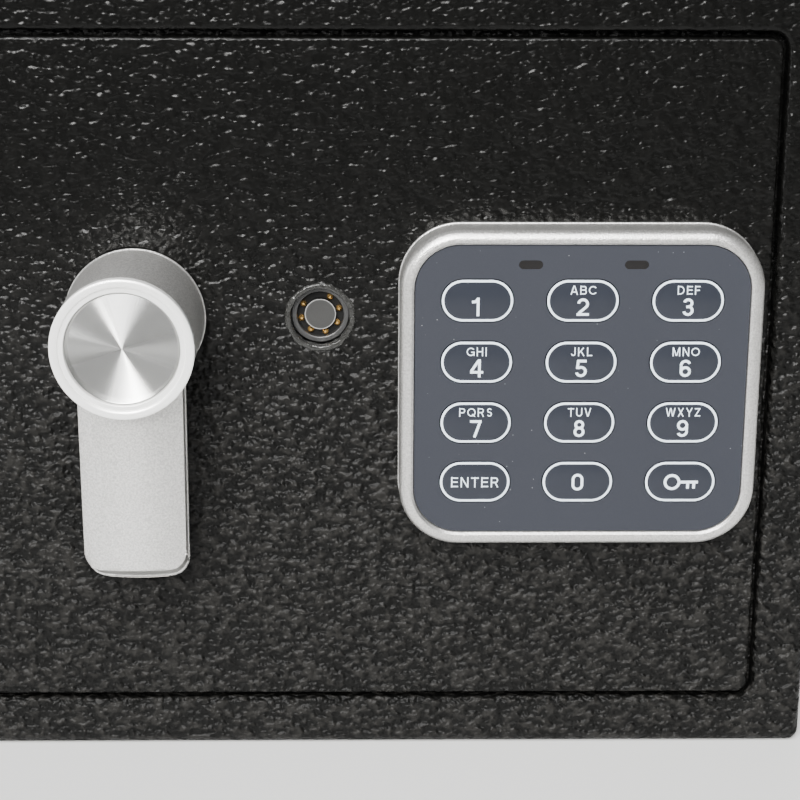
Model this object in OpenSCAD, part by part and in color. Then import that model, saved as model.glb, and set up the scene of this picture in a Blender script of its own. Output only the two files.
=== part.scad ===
// Small electronic safe with a lever handle, a recessed override lock and a push-button keypad.
// Millimetres. The origin is the centre of the base: X to the right, Y to the back, Z up.
// Depths on the door are measured from the front of the door plate, positive into the safe.

/* [Case] */
// Outer width of the case
case_w = 230; // [222:1:300]
// Outer height of the case
case_h = 170; // [164:1:260]
// Outer depth of the case
case_d = 170; // [110:1:300]
// Thickness of the case sheet
sheet_t = 2; // [1.5:0.1:2.4]
// Outer radius of the case's folded edges
bend_r = 2.6; // [2.5:0.1:4]
// Width of the front frame round the door opening
frame_w = 11.3; // [10:0.1:13]
// Radius of the fold at the edge of the door opening
fold_r = 1.3; // [0.6:0.1:1.4]
// Depth of the lip behind that fold
lip_d = 14; // [12.5:0.5:18]
// Width of each anchor hole
anchor_d = 10; // [6:0.5:12]
// Distance between the two anchor holes of a pair
anchor_span = 120; // [60:1:160]
// Thickness of the felt floor mat
mat_t = 2.5; // [1:0.5:4]
// Gap between the mat and the walls
mat_gap = 1; // [0.5:0.5:3]
// Distance from the front of the case to the mat
mat_front = 46; // [44:1:60]

/* [Door] */
// Thickness of the door plate
door_t = 4; // [3:0.5:5]
// Gap between the door plate and the opening
door_gap = 1.2; // [1.2:0.1:2]
// Radius of the door plate's corners
door_corner = 2.5; // [1:0.5:5]
// Radius of the door plate's front edge
door_edge = 0.7; // [0.3:0.1:1.2]
// Distance from the door's left edge to the hinge axis
hinge_in = 24; // [24:1:30]
// Diameter of the hinge pins
hinge_d = 4; // [3:0.5:5]
// Size of the block that holds each hinge pin
hinge_block = 12; // [10:1:14]
// Wall left between the hinge pin and the door plate
hinge_wall = 0.6; // [0.4:0.1:0.8]
// Radial running clearance of shafts in bushes
run_c = 0.05; // [0.02:0.01:0.1]
// Gap between the closed door and its stop
stop_gap = 0.4; // [0.3:0.1:1]
// Thickness of the stop strips and the strike channel
stop_t = 2; // [1.5:0.5:3]
// How far the stop strips reach behind the door's edge
stop_over = 3; // [2:0.5:4]
// How far the strike channel reaches behind the door's edge
strike_in = 10; // [9:0.5:12]
// Depth of the strike channel behind the stop
strike_d = 37.6; // [34:0.2:44]

/* [Lock pan] */
// Depth of the pan behind the door plate
pan_d = 34; // [33:1:36]
// Thickness of the pan sheet
pan_t = 1.5; // [1:0.1:2]
// Width of the pan's rear flange
pan_flange = 8; // [7:0.5:9]
// Thickness of the inner cover
cover_t = 1.2; // [0.8:0.1:2]

/* [Bolts] */
// Travel of the bolts
throw_x = 12; // [10:0.5:12]
// Diameter of the live bolts
bolt_d = 14; // [10:0.5:16]
// Distance between the two bolts
bolt_span = 80; // [74:1:84]
// Radial clearance of the bolts in the pan and of the carriage on its studs
bolt_c = 0.3; // [0.2:0.05:0.5]
// Clearance round the bolts in the strike channel's square holes
strike_c = 1; // [0.5:0.1:1.5]
// Thickness of the bolt carriage
carriage_t = 2; // [1.5:0.1:2.2]
// Diameter of the carriage studs
stud_d = 4; // [3:0.5:5]

/* [Handle] */
// Distance from the keypad's centre to the handle's axis, sideways
handle_side = 93.2; // [92:0.1:98]
// Height of the handle's axis above the middle of the door
handle_up = 14.2; // [13:0.1:16]
// Reach of the handle in front of the door
handle_reach = 26.4; // [24:0.1:32]
// Diameter of the handle's front ring
ring_d = 28.9; // [27:0.1:32]
// Diameter of the handle's barrel
barrel_d = 28.4; // [26:0.1:28.6]
// Diameter of the spun disc
disc_d = 22.9; // [20:0.1:23.5]
// Depth of the disc below the ring
disc_in = 1.1; // [0.3:0.1:1.2]
// Width of the grip
grip_w = 21.8; // [18:0.1:24]
// Distance from the axis to the end of the grip's crown
grip_len = 49.8; // [44:0.1:51]
// Height of the grip's crown above the door
grip_top = 18.8; // [17.5:0.1:20.5]
// Height of the grip's back above the door
grip_back = 9; // [7:0.1:10]
// Rise of the grip's crown from its sides to its middle
grip_crown = 3.6; // [2.5:0.1:4]
// Corner radius of the grip's end
grip_corner = 4.5; // [2:0.1:6]
// Slope of the grip's end, outwards to the back
grip_slope = 28; // [0:1:32]
// Thickness of the grip's back plate
back_t = 1.2; // [0.8:0.1:1.6]
// How far the back plate stands out round the grip
back_lip = 0.2; // [0.1:0.05:0.6]
// Turn of the handle
handle_turn = 60; // [50:1:60]
// Diameter of the round spindle
spindle_d = 10; // [9:0.5:11]
// Thickness of the washer under the handle
washer_t = 0.3; // [0.2:0.05:0.5]

/* [Override lock] */
// Distance from the keypad's centre to the lock's axis, sideways
lock_side = 54.5; // [52:0.1:56]
// Height of the lock's axis above the middle of the door
lock_up = 14; // [13.5:0.1:15]
// Diameter of the hole in the door
lock_hole = 12.8; // [12.4:0.1:14]
// Depth of the lock's face below the door's front
lock_in = 2.6; // [2:0.1:3]
// Outer diameter of the round keyway
keyway_d = 9.8; // [9:0.1:10]
// Diameter of the keyway's centre post
post_d = 6.6; // [6:0.1:7]
// Depth of the keyway
keyway_in = 1.8; // [1:0.1:2.5]
// Diameter of the lock's pins
pin_d = 1.3; // [1:0.1:1.5]
// Number of places round the keyway, one of which is empty
pin_places = 8; // [6:1:8]

/* [Keypad] */
// Outer width of the bezel
bezel_w = 76.1; // [76:0.1:80]
// Outer height of the bezel
bezel_h = 69.1; // [69:0.1:74]
// Height of the bezel in front of the door
bezel_t = 8; // [7.6:0.1:9]
// Width of the bezel's rim
rim_w = 3.35; // [2.5:0.05:3.4]
// Outer corner radius of the bezel
bezel_r = 12.8; // [10:0.1:14]
// Radius of the bezel's rounded front
bead_r = 1.5; // [1:0.1:1.6]
// Gap between the bezel and the door's right edge
bezel_margin = 2.05; // [1.5:0.05:2.5]
// Depth of the face below the bezel
face_in = 0.75; // [0.4:0.05:1]
// Thickness of the face
face_t = 1.6; // [1.2:0.1:1.8]
// Distance between key columns
key_pitch_x = 21.8; // [18:0.1:21.8]
// Distance between key rows
key_pitch_z = 13.2; // [12:0.1:13.2]
// Height of the key grid's centre above the middle of the door
key_up = -0.3; // [-0.5:0.1:0.5]
// Width of a key
key_w = 15; // [12:0.1:15.5]
// Height of a key
key_h = 9.07; // [7:0.01:9.5]
// Travel of a key
key_travel = 0.6; // [0.3:0.1:0.6]
// Gap round each key
key_c = 0.15; // [0.1:0.01:0.25]
// Width of the key's rear flange
key_flange = 0.7; // [0.5:0.1:0.7]
// Height of a key above the face
key_proud = 0.1; // [0:0.05:0.3]
// Width of a light window
led_w = 4.95; // [3:0.05:6]
// Height of a light window
led_h = 1.85; // [1:0.05:2.5]
// Height of the light windows above the middle of the door
led_up = 27.1; // [26.5:0.1:28]

/* [Power and control] */
// Diameter of a battery cell
cell_d = 14.5; // [13.5:0.1:14.5]
// Length of a battery cell
cell_len = 50.5; // [44:0.1:50.5]
// Number of battery cells
cell_count = 4; // [2:1:4]
// Wall of the battery tray
tray_t = 1.6; // [1.2:0.1:1.8]
// Width of the control board
board_w = 60; // [50:1:60]
// Height of the control board
board_h = 43; // [43:1:46]
// Travel of the reset button
reset_travel = 1.2; // [0.8:0.1:1.4]
// Travel of the solenoid's plunger
plunger_travel = 2.5; // [1.5:0.1:2.5]

/* [Hidden] */
$fn = 72;

// Door plate and the opening
door_w = case_w - 2 * (frame_w + door_gap);
door_h = case_h - 2 * (frame_w + door_gap);
mid_z = case_h / 2;
door_z0 = mid_z - door_h / 2;
door_z1 = mid_z + door_h / 2;
open_z0 = door_z0 - door_gap;
open_z1 = door_z1 + door_gap;
open_x1 = door_w / 2 + door_gap;
inside_x = case_w / 2 - sheet_t;

// Hinge
hinge_x = hinge_in - door_w / 2;
hinge_y = door_t + hinge_wall + hinge_d / 2;
block_wall = 1;
block_y = door_t + 2 * hinge_wall + hinge_d + block_wall;
block_h = 14;
hinge_bush_wall = 1.5;
hinge_bush_rim = 1;
bush_r = hinge_d / 2 + hinge_bush_wall;
bush_flange_r = bush_r + hinge_bush_rim;
bush_flange_t = 0.8;
bush_out = 0.6;
hinge_swing_gap = 2.5;

// Stops and strike channel
stop_y = door_t + stop_gap;
stop_x0 = hinge_x + hinge_block / 2 + hinge_swing_gap;
strike_x = door_w / 2 - strike_in;
strike_y1 = stop_y + strike_d;
strike_hole = bolt_d + 2 * strike_c;

// Pan and inner cover
pan_gap = 1;
pan_swing = 4.5;
pan_x0 = stop_x0;
pan_x1 = strike_x - pan_swing;
pan_z0 = door_z0 + stop_over + pan_gap;
pan_z1 = door_z1 - stop_over - pan_gap;
pan_y1 = door_t + pan_d;
cover_y1 = pan_y1 + cover_t;
cover_screw_r = 1.5;
cover_head_r = 3;
cover_head_t = 1.8;

// Axes of the controls on the door
keypad_x = door_w / 2 - bezel_margin - bezel_w / 2;
handle_x = keypad_x - handle_side;
handle_z = mid_z + handle_up;
lock_x = keypad_x - lock_side;
lock_z = mid_z + lock_up;

// Crank below the spindle: its pin swings evenly to both sides of the vertical, to the right as the
// grip does, and moves the carriage by the throw
crank_r = throw_x / 2 / sin(handle_turn / 2);
crank_gap = 4;
crank_y0 = door_t + crank_gap;
crank_t = 3;
crank_hub_r = 9;
crank_end_r = 5;
crank_pin_r = 3;
crank_pin_c = 0.4;
crank_pin_out = 1.5;
crank_head_t = 1.7;
crank_head_r = 5;
crank_screw_r = 2;
crank_screw_len = 8;
spindle_square = spindle_d * 0.7;
spindle_in = 17;
bush_wall = 1.5;
spindle_hole_r = spindle_d / 2 + bush_wall;
bush_plate_t = 1.4;
bush_flange = 3;
bush_plate_r = spindle_hole_r + bush_flange;
lever_gap = 0.3;
lever_y0 = -(washer_t + lever_gap);
ring_t = 2;
barrel_y1 = -(handle_reach - ring_t);
disc_t = 0.8;
ring_lip_r = disc_d / 2 + 0.1;
ring_step_r = ring_lip_r + 1;
ring_step_t = 0.25;
ring_round = 0.8;
seat_depth = 2;

// Bolt carriage
carriage_gap = 9;
carriage_y0 = door_t + carriage_gap;
carriage_y1 = carriage_y0 + carriage_t;
bolt_y = carriage_y1 + bolt_d / 2;
bolt_rim = 0.5;
spine_rim = 2;
flange_y1 = bolt_y + bolt_d / 2 + bolt_rim;
bolt_out = 1.5;
bolt_tip = pan_x1 + bolt_out;
bolt_len = 25.5;
flange_x1 = bolt_tip - bolt_len;
spine_w = 24;
spine_x0 = flange_x1 - spine_w;
spine_h = bolt_span + bolt_d + 2 * spine_rim;
tenon_r = 4;
rivet_r = 5;
rivet_t = 0.8;
arm_rise = 10;
arm_h = 12;
arm_z0 = lock_z + arm_rise;
arm_z1 = arm_z0 + arm_h;
notch_d = 5;
head_half = 9;
head_drop = 4;
slot_end = 0.3;
slot_x = handle_x - throw_x / 2;
slot_r = crank_pin_r + crank_pin_c;
slot_z0 = handle_z - crank_r - slot_end - slot_r;
stud_inset = 7;
stud_x = flange_x1 - stud_inset;
stud_span = 50;
arm_stud_side = 12;
arm_stud_x = lock_x - arm_stud_side;
stud_foot_r = 4;
stud_side_gap = 0.3;
stud_head_t = 1.7;

// Override lock
lock_tube_c = 0.3;
lock_tube_r = lock_hole / 2 - lock_tube_c;
lock_body_r = 8;
lock_flange_r = 12;
lock_flange_t = 2;
lock_out = 1.5;
lock_y1 = carriage_y1 + lock_out;
plug_y0 = lock_in + keyway_in;
plug_r = keyway_d / 2;
cam_out = 2;
cam_y0 = carriage_y1 + cam_out;
cam_t = 2;
cam_w = 8;
cam_square = 5;
cam_hub_r = 6.5;
cam_head_r = 4;
cam_head_t = 2;
cam_screw_len = 7;
pin_ring_r = (keyway_d + post_d) / 4;
pin_proud = 1.1;
pin_in = 3;
pin_start = 30;

// Solenoid: its plunger stands under the carriage's arm, beside the override lock
plunger_side = 18;
plunger_x = lock_x + plunger_side;
plunger_y = carriage_y0 + carriage_t / 2;
plunger_r = 2.5;
collar_r = 6;
collar_t = 2;
armature_r = 4;
tip_gap = 0.5;
step_lead = 8;
cam_gap = 0.35;
collar_z1 = lock_z - cam_w / 2 - cam_gap;
collar_z0 = collar_z1 - collar_t;
spring_len = 5;
spring_wire = 0.7;
spring_turns = 3;
coil_h = 20;
coil_r = 8.5;
solenoid_t = 1.5;
solenoid_z1 = collar_z0 - spring_len;
coil_z1 = solenoid_z1 - solenoid_t;
coil_z0 = coil_z1 - coil_h;
solenoid_z0 = coil_z0 - solenoid_t;
solenoid_w = 18;
solenoid_ear = 7;
solenoid_ear_h = 16;
mount_head_r = 2.8;
mount_head_t = 1.6;
mount_screw_in = 2;
armature_z0 = coil_z0 + plunger_travel + 3;
cam_reach = plunger_side - plunger_r - cam_gap;

// Keypad depths, negative in front of the door
face_y0 = -(bezel_t - face_in);
face_y1 = face_y0 + face_t;
face_w = bezel_w - 2 * rim_w;
face_h = bezel_h - 2 * rim_w;
face_r = bezel_r - rim_w;
base_t = 1.5;
base_wall = 1.2;
key_y0 = face_y0 - key_proud;
key_seat = 0.3;
key_flange_t = 0.9;
key_y1 = face_y1 + key_seat + key_flange_t;
dome_gap = 0.35;
switch_t = 1;
switch_gap = 0.5;
switch_corner = 4;
switch_y0 = -base_t - switch_t;
dome_y0 = key_y1 + key_travel + dome_gap;
dome_w = 8;
dome_h = 5;
screw_r = 1.5;
screw_hole_r = 1.8;
screw_head_r = 3.2;
screw_head_t = 2;
boss_r = 2.7;
keypad_screw_x = 19.5;
keypad_screw_z = 28.4;
screw_reach = 5;

// Ribbon cable and its slots
ribbon_w = 8;
ribbon_t = 1;
ribbon_side = 28;
ribbon_drop = 24;
ribbon_x = keypad_x - ribbon_side;
ribbon_z = mid_z - ribbon_drop;
ribbon_slot_c = 0.8;

// Battery tray
cell_gap = 0.6;
tray_in_w = cell_len + 4;
tray_in_h = cell_count * cell_d + (cell_count + 1) * cell_gap;
tray_w = tray_in_w + 2 * tray_t;
tray_h = tray_in_h + 2 * tray_t;
tray_in_d = cell_d + 1.5;
tray_rim = 2.5;
tray_rim_t = 1;
tray_side = 1;
tray_x0 = pan_x0 + pan_flange + tray_rim + tray_side;
tray_z0 = pan_z0 + pan_flange + tray_side;
tray_y1 = cover_y1;
tray_y0 = tray_y1 - tray_in_d - tray_t;
contact_t = 0.5;
contact_w = 10;
contact_h = 11;
cell_y = tray_y0 + tray_t + 0.5 + cell_d / 2;

// Battery lid, hinged along its upper edge
lid_t = 1.6;
lid_c = 0.3;
lid_y0 = cover_y1 + tray_rim_t + lid_c;
lid_rod_r = 1.8;
lid_pin_r = 1;
lid_ear_t = 2;
lid_ear_r = 2.4;
lid_pin_len = 1.6;
lid_z = tray_z0 + tray_h + lid_ear_r;
lid_y = lid_y0 + lid_rod_r;

// Control board
board_t = 1.6;
board_side = 4.5;
ribbon_from_left = 30.7;
ribbon_from_top = 6.5;
board_x0 = max(tray_x0 + tray_w + board_side, ribbon_x - ribbon_from_left);
board_z0 = max(pan_z0 + pan_flange, ribbon_z + ribbon_from_top - board_h);
post_h = 5.4;
board_y1 = pan_y1 - post_h;
board_y0 = board_y1 - board_t;
post_r = 2.5;
post_in = 4;
plug_wall = 1.5;
plug_d = 5;
plug_h = 5;
ribbon_seat = 1;
switch_w = 6;
switch_h = 0.8;
reset_in_x = 14;
reset_in_z = 11;
reset_x = board_x0 + reset_in_x;
reset_z = board_z0 + reset_in_z;
reset_r = 4;
reset_stem_r = 1.5;
reset_collar_r = 5;
reset_collar_t = 0.8;
reset_out = 2;
reset_c = 0.3;

// Parts on the control board. A chip has its left and lower edge, width, height and thickness, and a
// capacitor its centre, radius and height. The tall ones stand clear of the bolts.
processor = [22, 8, 14, 10, 2.2];
memory = [40, 6, 7, 6, 1.6];
relay = [4, 24, 14, 9, 7];
big_capacitor = [9, 12, 4, 8];
small_capacitor = [23, 27, 3, 6];

// Moves what is drawn from the door's front plane to its place in the case
module front() {
    translate([0, -case_d / 2, 0]) children();
}

// Box between two opposite corners
module box(a, b) {
    translate(a) cube(b - a);
}

// Round bar along Y, from depth y0 to y1
module bar_y(r, y0, y1) {
    translate([0, y0, 0]) rotate([-90, 0, 0]) cylinder(r = r, h = y1 - y0);
}

// Round bar along X
module bar_x(r, x0, x1) {
    translate([x0, 0, 0]) rotate([0, 90, 0]) cylinder(r = r, h = x1 - x0);
}

// Plate in the XZ plane, from depth y0 to y1, with the outline that is given
module plate(y0, y1) {
    translate([0, y1, 0]) rotate([90, 0, 0]) linear_extrude(y1 - y0) children();
}

// Rectangle with round corners
module round_rect(w, h, r) {
    square([w - 2 * r, h], center = true);
    square([w, h - 2 * r], center = true);
    for (x = [-1, 1], z = [-1, 1])
        translate([x * (w / 2 - r), z * (h / 2 - r)]) circle(r = r);
}

// Outline with round ends, along X
module capsule(len, w) {
    square([len - w, w], center = true);
    for (x = [-1, 1]) translate([x * (len - w) / 2, 0]) circle(d = w);
}

// Carries a profile round a rectangle with round corners. The profile's x is the distance
// from the corner's centre, and its y is the height in front of the plane.
module round_frame(w, h, r) {
    rotate([90, 0, 0]) for (k = [0:3]) rotate([0, 0, k * 90]) {
        across = k % 2 == 0 ? w : h;
        along = k % 2 == 0 ? h : w;
        translate([across / 2 - r, along / 2 - r, 0]) {
            rotate_extrude(angle = 90) children();
            rotate([90, 0, 0]) linear_extrude(along - 2 * r) children();
        }
    }
}

// Outline of the door opening, grown by an amount on all sides
module opening(grow) {
    round_rect(2 * (open_x1 + grow), door_h + 2 * (door_gap + grow), door_corner + door_gap + grow);
}

// Ring that rounds the front edge of a plate of the same outline when it is cut away
module edge_cutter(w, h, r, edge) {
    extra = 1;
    round_frame(w, h, r) difference() {
        translate([r - edge, -edge]) square([edge + extra, edge + extra]);
        translate([r - edge, -edge]) circle(r = edge);
    }
}

// Place of key number k in the grid, counted from the upper left
function key_place(k) = [
    keypad_x + (k % 3 - 1) * key_pitch_x,
    mid_z + key_up + (1.5 - floor(k / 3)) * key_pitch_z
];

module case_shell() color([0.12, 0.12, 0.115]) front() difference() {
    union() {
        difference() {
            translate([0, 0, mid_z]) plate(0, case_d) round_rect(case_w, case_h, bend_r);
            translate([0, 0, mid_z]) plate(sheet_t, case_d + 1)
                round_rect(case_w - 2 * sheet_t, case_h - 2 * sheet_t, bend_r - sheet_t);
        }
        translate([0, 0, mid_z]) plate(sheet_t / 2, lip_d) opening(sheet_t);
    }
    translate([0, 0, mid_z]) plate(-1, lip_d + 1) opening(0);
    translate([0, 0, mid_z]) edge_cutter(case_w, case_h, bend_r, bend_r - 0.01);
    translate([0, 0, mid_z]) difference() {
        plate(-1, fold_r) opening(fold_r);
        round_frame(2 * (open_x1 + fold_r), door_h + 2 * (door_gap + fold_r),
            door_corner + door_gap + fold_r)
            translate([door_corner + door_gap + fold_r, -fold_r]) circle(r = fold_r);
    }
    for (x = [-1, 1]) translate([x * anchor_span / 2, case_d / 2, -1])
        cylinder(d = anchor_d, h = sheet_t + 2);
    for (z = [open_z0 - sheet_t - 1, open_z1 - 1])
        translate([hinge_x, hinge_y, z]) cylinder(r = bush_r, h = sheet_t + 2);
}

module back_panel() color([0.12, 0.12, 0.115]) front() difference() {
    translate([0, 0, mid_z]) plate(case_d - sheet_t, case_d)
        round_rect(case_w - 2 * sheet_t, case_h - 2 * sheet_t, bend_r - sheet_t);
    for (x = [-1, 1]) translate([x * anchor_span / 2, 0, mid_z])
        bar_y(anchor_d / 2, case_d - sheet_t - 1, case_d + 1);
}

module door_stop() color([0.12, 0.12, 0.115]) front() {
    box([stop_x0, stop_y, door_z1 - stop_over], [strike_x, stop_y + stop_t, open_z1]);
    box([stop_x0, stop_y, open_z0], [strike_x, stop_y + stop_t, door_z0 + stop_over]);
}

module strike_channel() color([0.12, 0.12, 0.115]) front() difference() {
    union() {
        intersection() {
            box([strike_x, stop_y, open_z0], [open_x1, stop_y + stop_t, open_z1]);
            translate([0, 0, mid_z]) plate(stop_y, stop_y + stop_t) opening(0);
        }
        box([strike_x, stop_y, open_z0], [strike_x + stop_t, strike_y1, open_z1]);
        box([strike_x, strike_y1 - stop_t, open_z0], [inside_x, strike_y1, open_z1]);
    }
    for (z = [-1, 1]) translate([0, bolt_y, mid_z + z * bolt_span / 2])
        translate([strike_x - 1, -strike_hole / 2, -strike_hole / 2])
            cube([stop_t + 2, strike_hole, strike_hole]);
}

module floor_mat() color([0.16, 0.16, 0.17]) front() difference() {
    box([-inside_x + mat_gap, mat_front, sheet_t],
        [inside_x - mat_gap, case_d - sheet_t - mat_gap, sheet_t + mat_t]);
    for (x = [-1, 1]) translate([x * anchor_span / 2, case_d / 2, 0])
        cylinder(d = anchor_d + 4, h = sheet_t + mat_t + 1);
}

// Bush seen from its flange, standing on the plane of the flange's far face
module hinge_bush() difference() {
    union() {
        cylinder(r = bush_r, h = sheet_t + bush_out);
        translate([0, 0, -bush_flange_t]) cylinder(r = bush_flange_r, h = bush_flange_t);
    }
    translate([0, 0, -bush_flange_t - 1])
        cylinder(r = hinge_d / 2 + run_c, h = sheet_t + bush_out + bush_flange_t + 2);
}

module hinge_bushes() color([0.75, 0.62, 0.35]) front() {
    translate([hinge_x, hinge_y, open_z1]) hinge_bush();
    translate([hinge_x, hinge_y, open_z0]) mirror([0, 0, 1]) hinge_bush();
}

module door_plate() color([0.12, 0.12, 0.115]) front() difference() {
    translate([0, 0, mid_z]) plate(0, door_t) round_rect(door_w, door_h, door_corner);
    translate([0, 0, mid_z]) edge_cutter(door_w, door_h, door_corner, door_edge);
    translate([handle_x, 0, handle_z]) bar_y(spindle_hole_r, -1, door_t + 1);
    translate([lock_x, 0, lock_z]) bar_y(lock_hole / 2, -1, door_t + 1);
    for (x = [-1, 1], z = [-1, 1])
        translate([keypad_x + x * keypad_screw_x, 0, mid_z + z * keypad_screw_z])
            bar_y(screw_hole_r, -1, door_t + 1);
    translate([ribbon_x, 0, ribbon_z]) plate(-1, door_t + 1)
        square([ribbon_w + 2 * ribbon_slot_c, ribbon_t + 2 * ribbon_slot_c], center = true);
    translate([plunger_x, 0, 0]) solenoid_screw_places() bar_y(screw_r, door_t - mount_screw_in, door_t + 1);
    lock_screw_places() bar_y(screw_r, door_t - mount_screw_in, door_t + 1);
}

module hinge_blocks() color([0.4, 0.4, 0.4]) front() difference() {
    for (z = [door_z0, door_z1 - block_h])
        box([hinge_x - hinge_block / 2, door_t, z], [hinge_x + hinge_block / 2, block_y, z + block_h]);
    translate([hinge_x, hinge_y, 0]) cylinder(d = hinge_d, h = case_h);
}

module hinge_pins() color([0.75, 0.75, 0.77]) front() {
    pin_out = door_gap + sheet_t + bush_out;
    for (z = [door_z0 - pin_out, door_z1 - block_h])
        translate([hinge_x, hinge_y, z]) cylinder(d = hinge_d, h = block_h + pin_out);
}

module lock_pan() color([0.13, 0.13, 0.13]) front() difference() {
    box([pan_x0, door_t, pan_z0], [pan_x1, pan_y1, pan_z1]);
    box([pan_x0 + pan_t, door_t - 1, pan_z0 + pan_t], [pan_x1 - pan_t, pan_y1 - pan_t, pan_z1 - pan_t]);
    box([pan_x0 + pan_flange, door_t, pan_z0 + pan_flange],
        [pan_x1 - pan_flange, pan_y1 + 1, pan_z1 - pan_flange]);
    for (z = [-1, 1]) translate([0, bolt_y, mid_z + z * bolt_span / 2])
        bar_x(bolt_d / 2 + bolt_c, pan_x1 - pan_t - 1, pan_x1 + 1);
    cover_screw_places() bar_y(cover_screw_r, pan_y1 - pan_t - 1, pan_y1 + 1);
}

module cover_screw_places() {
    inset = pan_flange / 2;
    for (x = [pan_x0 + inset, pan_x1 - inset], z = [pan_z0 + inset, pan_z1 - inset])
        translate([x, 0, z]) children();
}

module inner_cover() color([0.15, 0.15, 0.155]) front() {
    difference() {
        box([pan_x0, pan_y1, pan_z0], [pan_x1, cover_y1, pan_z1]);
        box([tray_x0, pan_y1 - 1, tray_z0], [tray_x0 + tray_w, cover_y1 + 1, tray_z0 + tray_h]);
        cover_screw_places() bar_y(cover_screw_r, pan_y1 - 1, cover_y1 + 1);
        translate([reset_x, 0, reset_z]) bar_y(reset_r + reset_c, pan_y1 - 1, cover_y1 + 1);
    }
    for (x = [board_x0 + post_in, board_x0 + board_w - post_in],
         z = [board_z0 + post_in, board_z0 + board_h - post_in])
        translate([x, 0, z]) bar_y(post_r, board_y1, pan_y1);
}

module cover_screws() color([0.7, 0.7, 0.72]) front() cover_screw_places() difference() {
    union() {
        bar_y(cover_screw_r, pan_y1 - pan_t - 2, cover_y1);
        bar_y(cover_head_r, cover_y1, cover_y1 + cover_head_t);
    }
    for (turn = [0, 90]) rotate([0, turn, 0])
        box([-2, cover_y1 + cover_head_t - 1, -0.4], [2, cover_y1 + cover_head_t + 1, 0.4]);
}

module battery_tray() color([0.07, 0.07, 0.075]) front() {
    difference() {
        union() {
            box([tray_x0, tray_y0, tray_z0], [tray_x0 + tray_w, tray_y1, tray_z0 + tray_h]);
            box([tray_x0 - tray_rim, cover_y1, tray_z0 - tray_rim],
                [tray_x0 + tray_w + tray_rim, cover_y1 + tray_rim_t, tray_z0 + tray_h + tray_rim]);
        }
        box([tray_x0 + tray_t, tray_y0 + tray_t, tray_z0 + tray_t],
            [tray_x0 + tray_t + tray_in_w, cover_y1 + 2, tray_z0 + tray_t + tray_in_h]);
    }
    for (x = [tray_x0 - tray_rim, tray_x0 + tray_w + tray_rim - lid_ear_t]) difference() {
        union() {
            translate([0, lid_y, lid_z]) bar_x(lid_ear_r, x, x + lid_ear_t);
            box([x, cover_y1, lid_z - lid_ear_r], [x + lid_ear_t, lid_y, lid_z + lid_ear_r]);
        }
        translate([0, lid_y, lid_z]) bar_x(lid_pin_r + run_c, x - 1, x + lid_ear_t + 1);
    }
}

// Height of the middle of cell number n, counted from the lowest
function cell_z(n) = tray_z0 + tray_t + cell_gap + cell_d / 2 + n * (cell_d + cell_gap);

module battery_cells() color([0.2, 0.3, 0.45]) front() for (n = [0:cell_count - 1]) {
    flip = n % 2;
    nub_r = 2.75;
    nub_len = 1;
    x0 = tray_x0 + tray_t + (tray_in_w - cell_len) / 2;
    translate([x0 + cell_len / 2, cell_y, cell_z(n)]) rotate([0, flip * 180, 0]) {
        bar_x(cell_d / 2, -cell_len / 2, cell_len / 2 - nub_len);
        bar_x(nub_r, cell_len / 2 - nub_len, cell_len / 2);
    }
}

module battery_contacts() color([0.78, 0.78, 0.8]) front() for (n = [0:cell_count - 1]) {
    side = n % 2 == 0 ? -1 : 1;
    mid = tray_x0 + tray_t + tray_in_w / 2;
    gap = (tray_in_w - cell_len) / 2;
    spring_r = 4;
    for (s = [-1, 1]) translate([mid, cell_y, cell_z(n)]) rotate([0, s < 0 ? 180 : 0, 0]) {
        box([tray_in_w / 2 - contact_t, -contact_w / 2, -contact_h / 2],
            [tray_in_w / 2, contact_w / 2, contact_h / 2]);
        if (s == side) difference() {
            bar_x(spring_r, cell_len / 2, tray_in_w / 2 - contact_t);
            bar_x(spring_r - 0.8, cell_len / 2 - 1, tray_in_w / 2 - contact_t);
        }
        else bar_x(2, cell_len / 2, tray_in_w / 2 - contact_t);
    }
}

module battery_lid() color([0.07, 0.07, 0.075]) front() {
    lid_x0 = tray_x0 - tray_rim + lid_ear_t + lid_c;
    lid_x1 = tray_x0 + tray_w + tray_rim - lid_ear_t - lid_c;
    tab_w = 14;
    box([lid_x0, lid_y0, tray_z0 - tray_rim], [lid_x1, lid_y0 + lid_t, lid_z]);
    translate([0, lid_y, lid_z]) {
        bar_x(lid_rod_r, lid_x0, lid_x1);
        bar_x(lid_pin_r, lid_x0 - lid_pin_len, lid_x1 + lid_pin_len);
    }
    translate([(lid_x0 + lid_x1) / 2, 0, tray_z0 - tray_rim])
        box([-tab_w / 2, lid_y0, -3], [tab_w / 2, lid_y0 + lid_t, 1]);
}

module control_board() color([0.1, 0.35, 0.2]) front() {
    box([board_x0, board_y0, board_z0], [board_x0 + board_w, board_y1, board_z0 + board_h]);
    for (size = [processor, memory, relay]) chip(size);
    for (size = [big_capacitor, small_capacitor]) capacitor(size);
    translate([reset_x, 0, reset_z])
        box([-switch_w / 2, board_y1, -switch_w / 2], [switch_w / 2, board_y1 + switch_h, switch_w / 2]);
    translate([ribbon_x, 0, ribbon_z]) difference() {
        box([-ribbon_w / 2 - plug_wall, board_y0 - plug_d, -plug_h / 2],
            [ribbon_w / 2 + plug_wall, board_y0, plug_h / 2]);
        box([-ribbon_w / 2, board_y0 - plug_d - 1, -ribbon_t / 2],
            [ribbon_w / 2, board_y0 - ribbon_seat, ribbon_t / 2]);
    }
}

module chip(size) translate([board_x0 + size[0], board_y0 - size[4], board_z0 + size[1]])
    cube([size[2], size[4], size[3]]);

module capacitor(size) translate([board_x0 + size[0], 0, board_z0 + size[1]])
    bar_y(size[2], board_y0 - size[3], board_y0);

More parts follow.
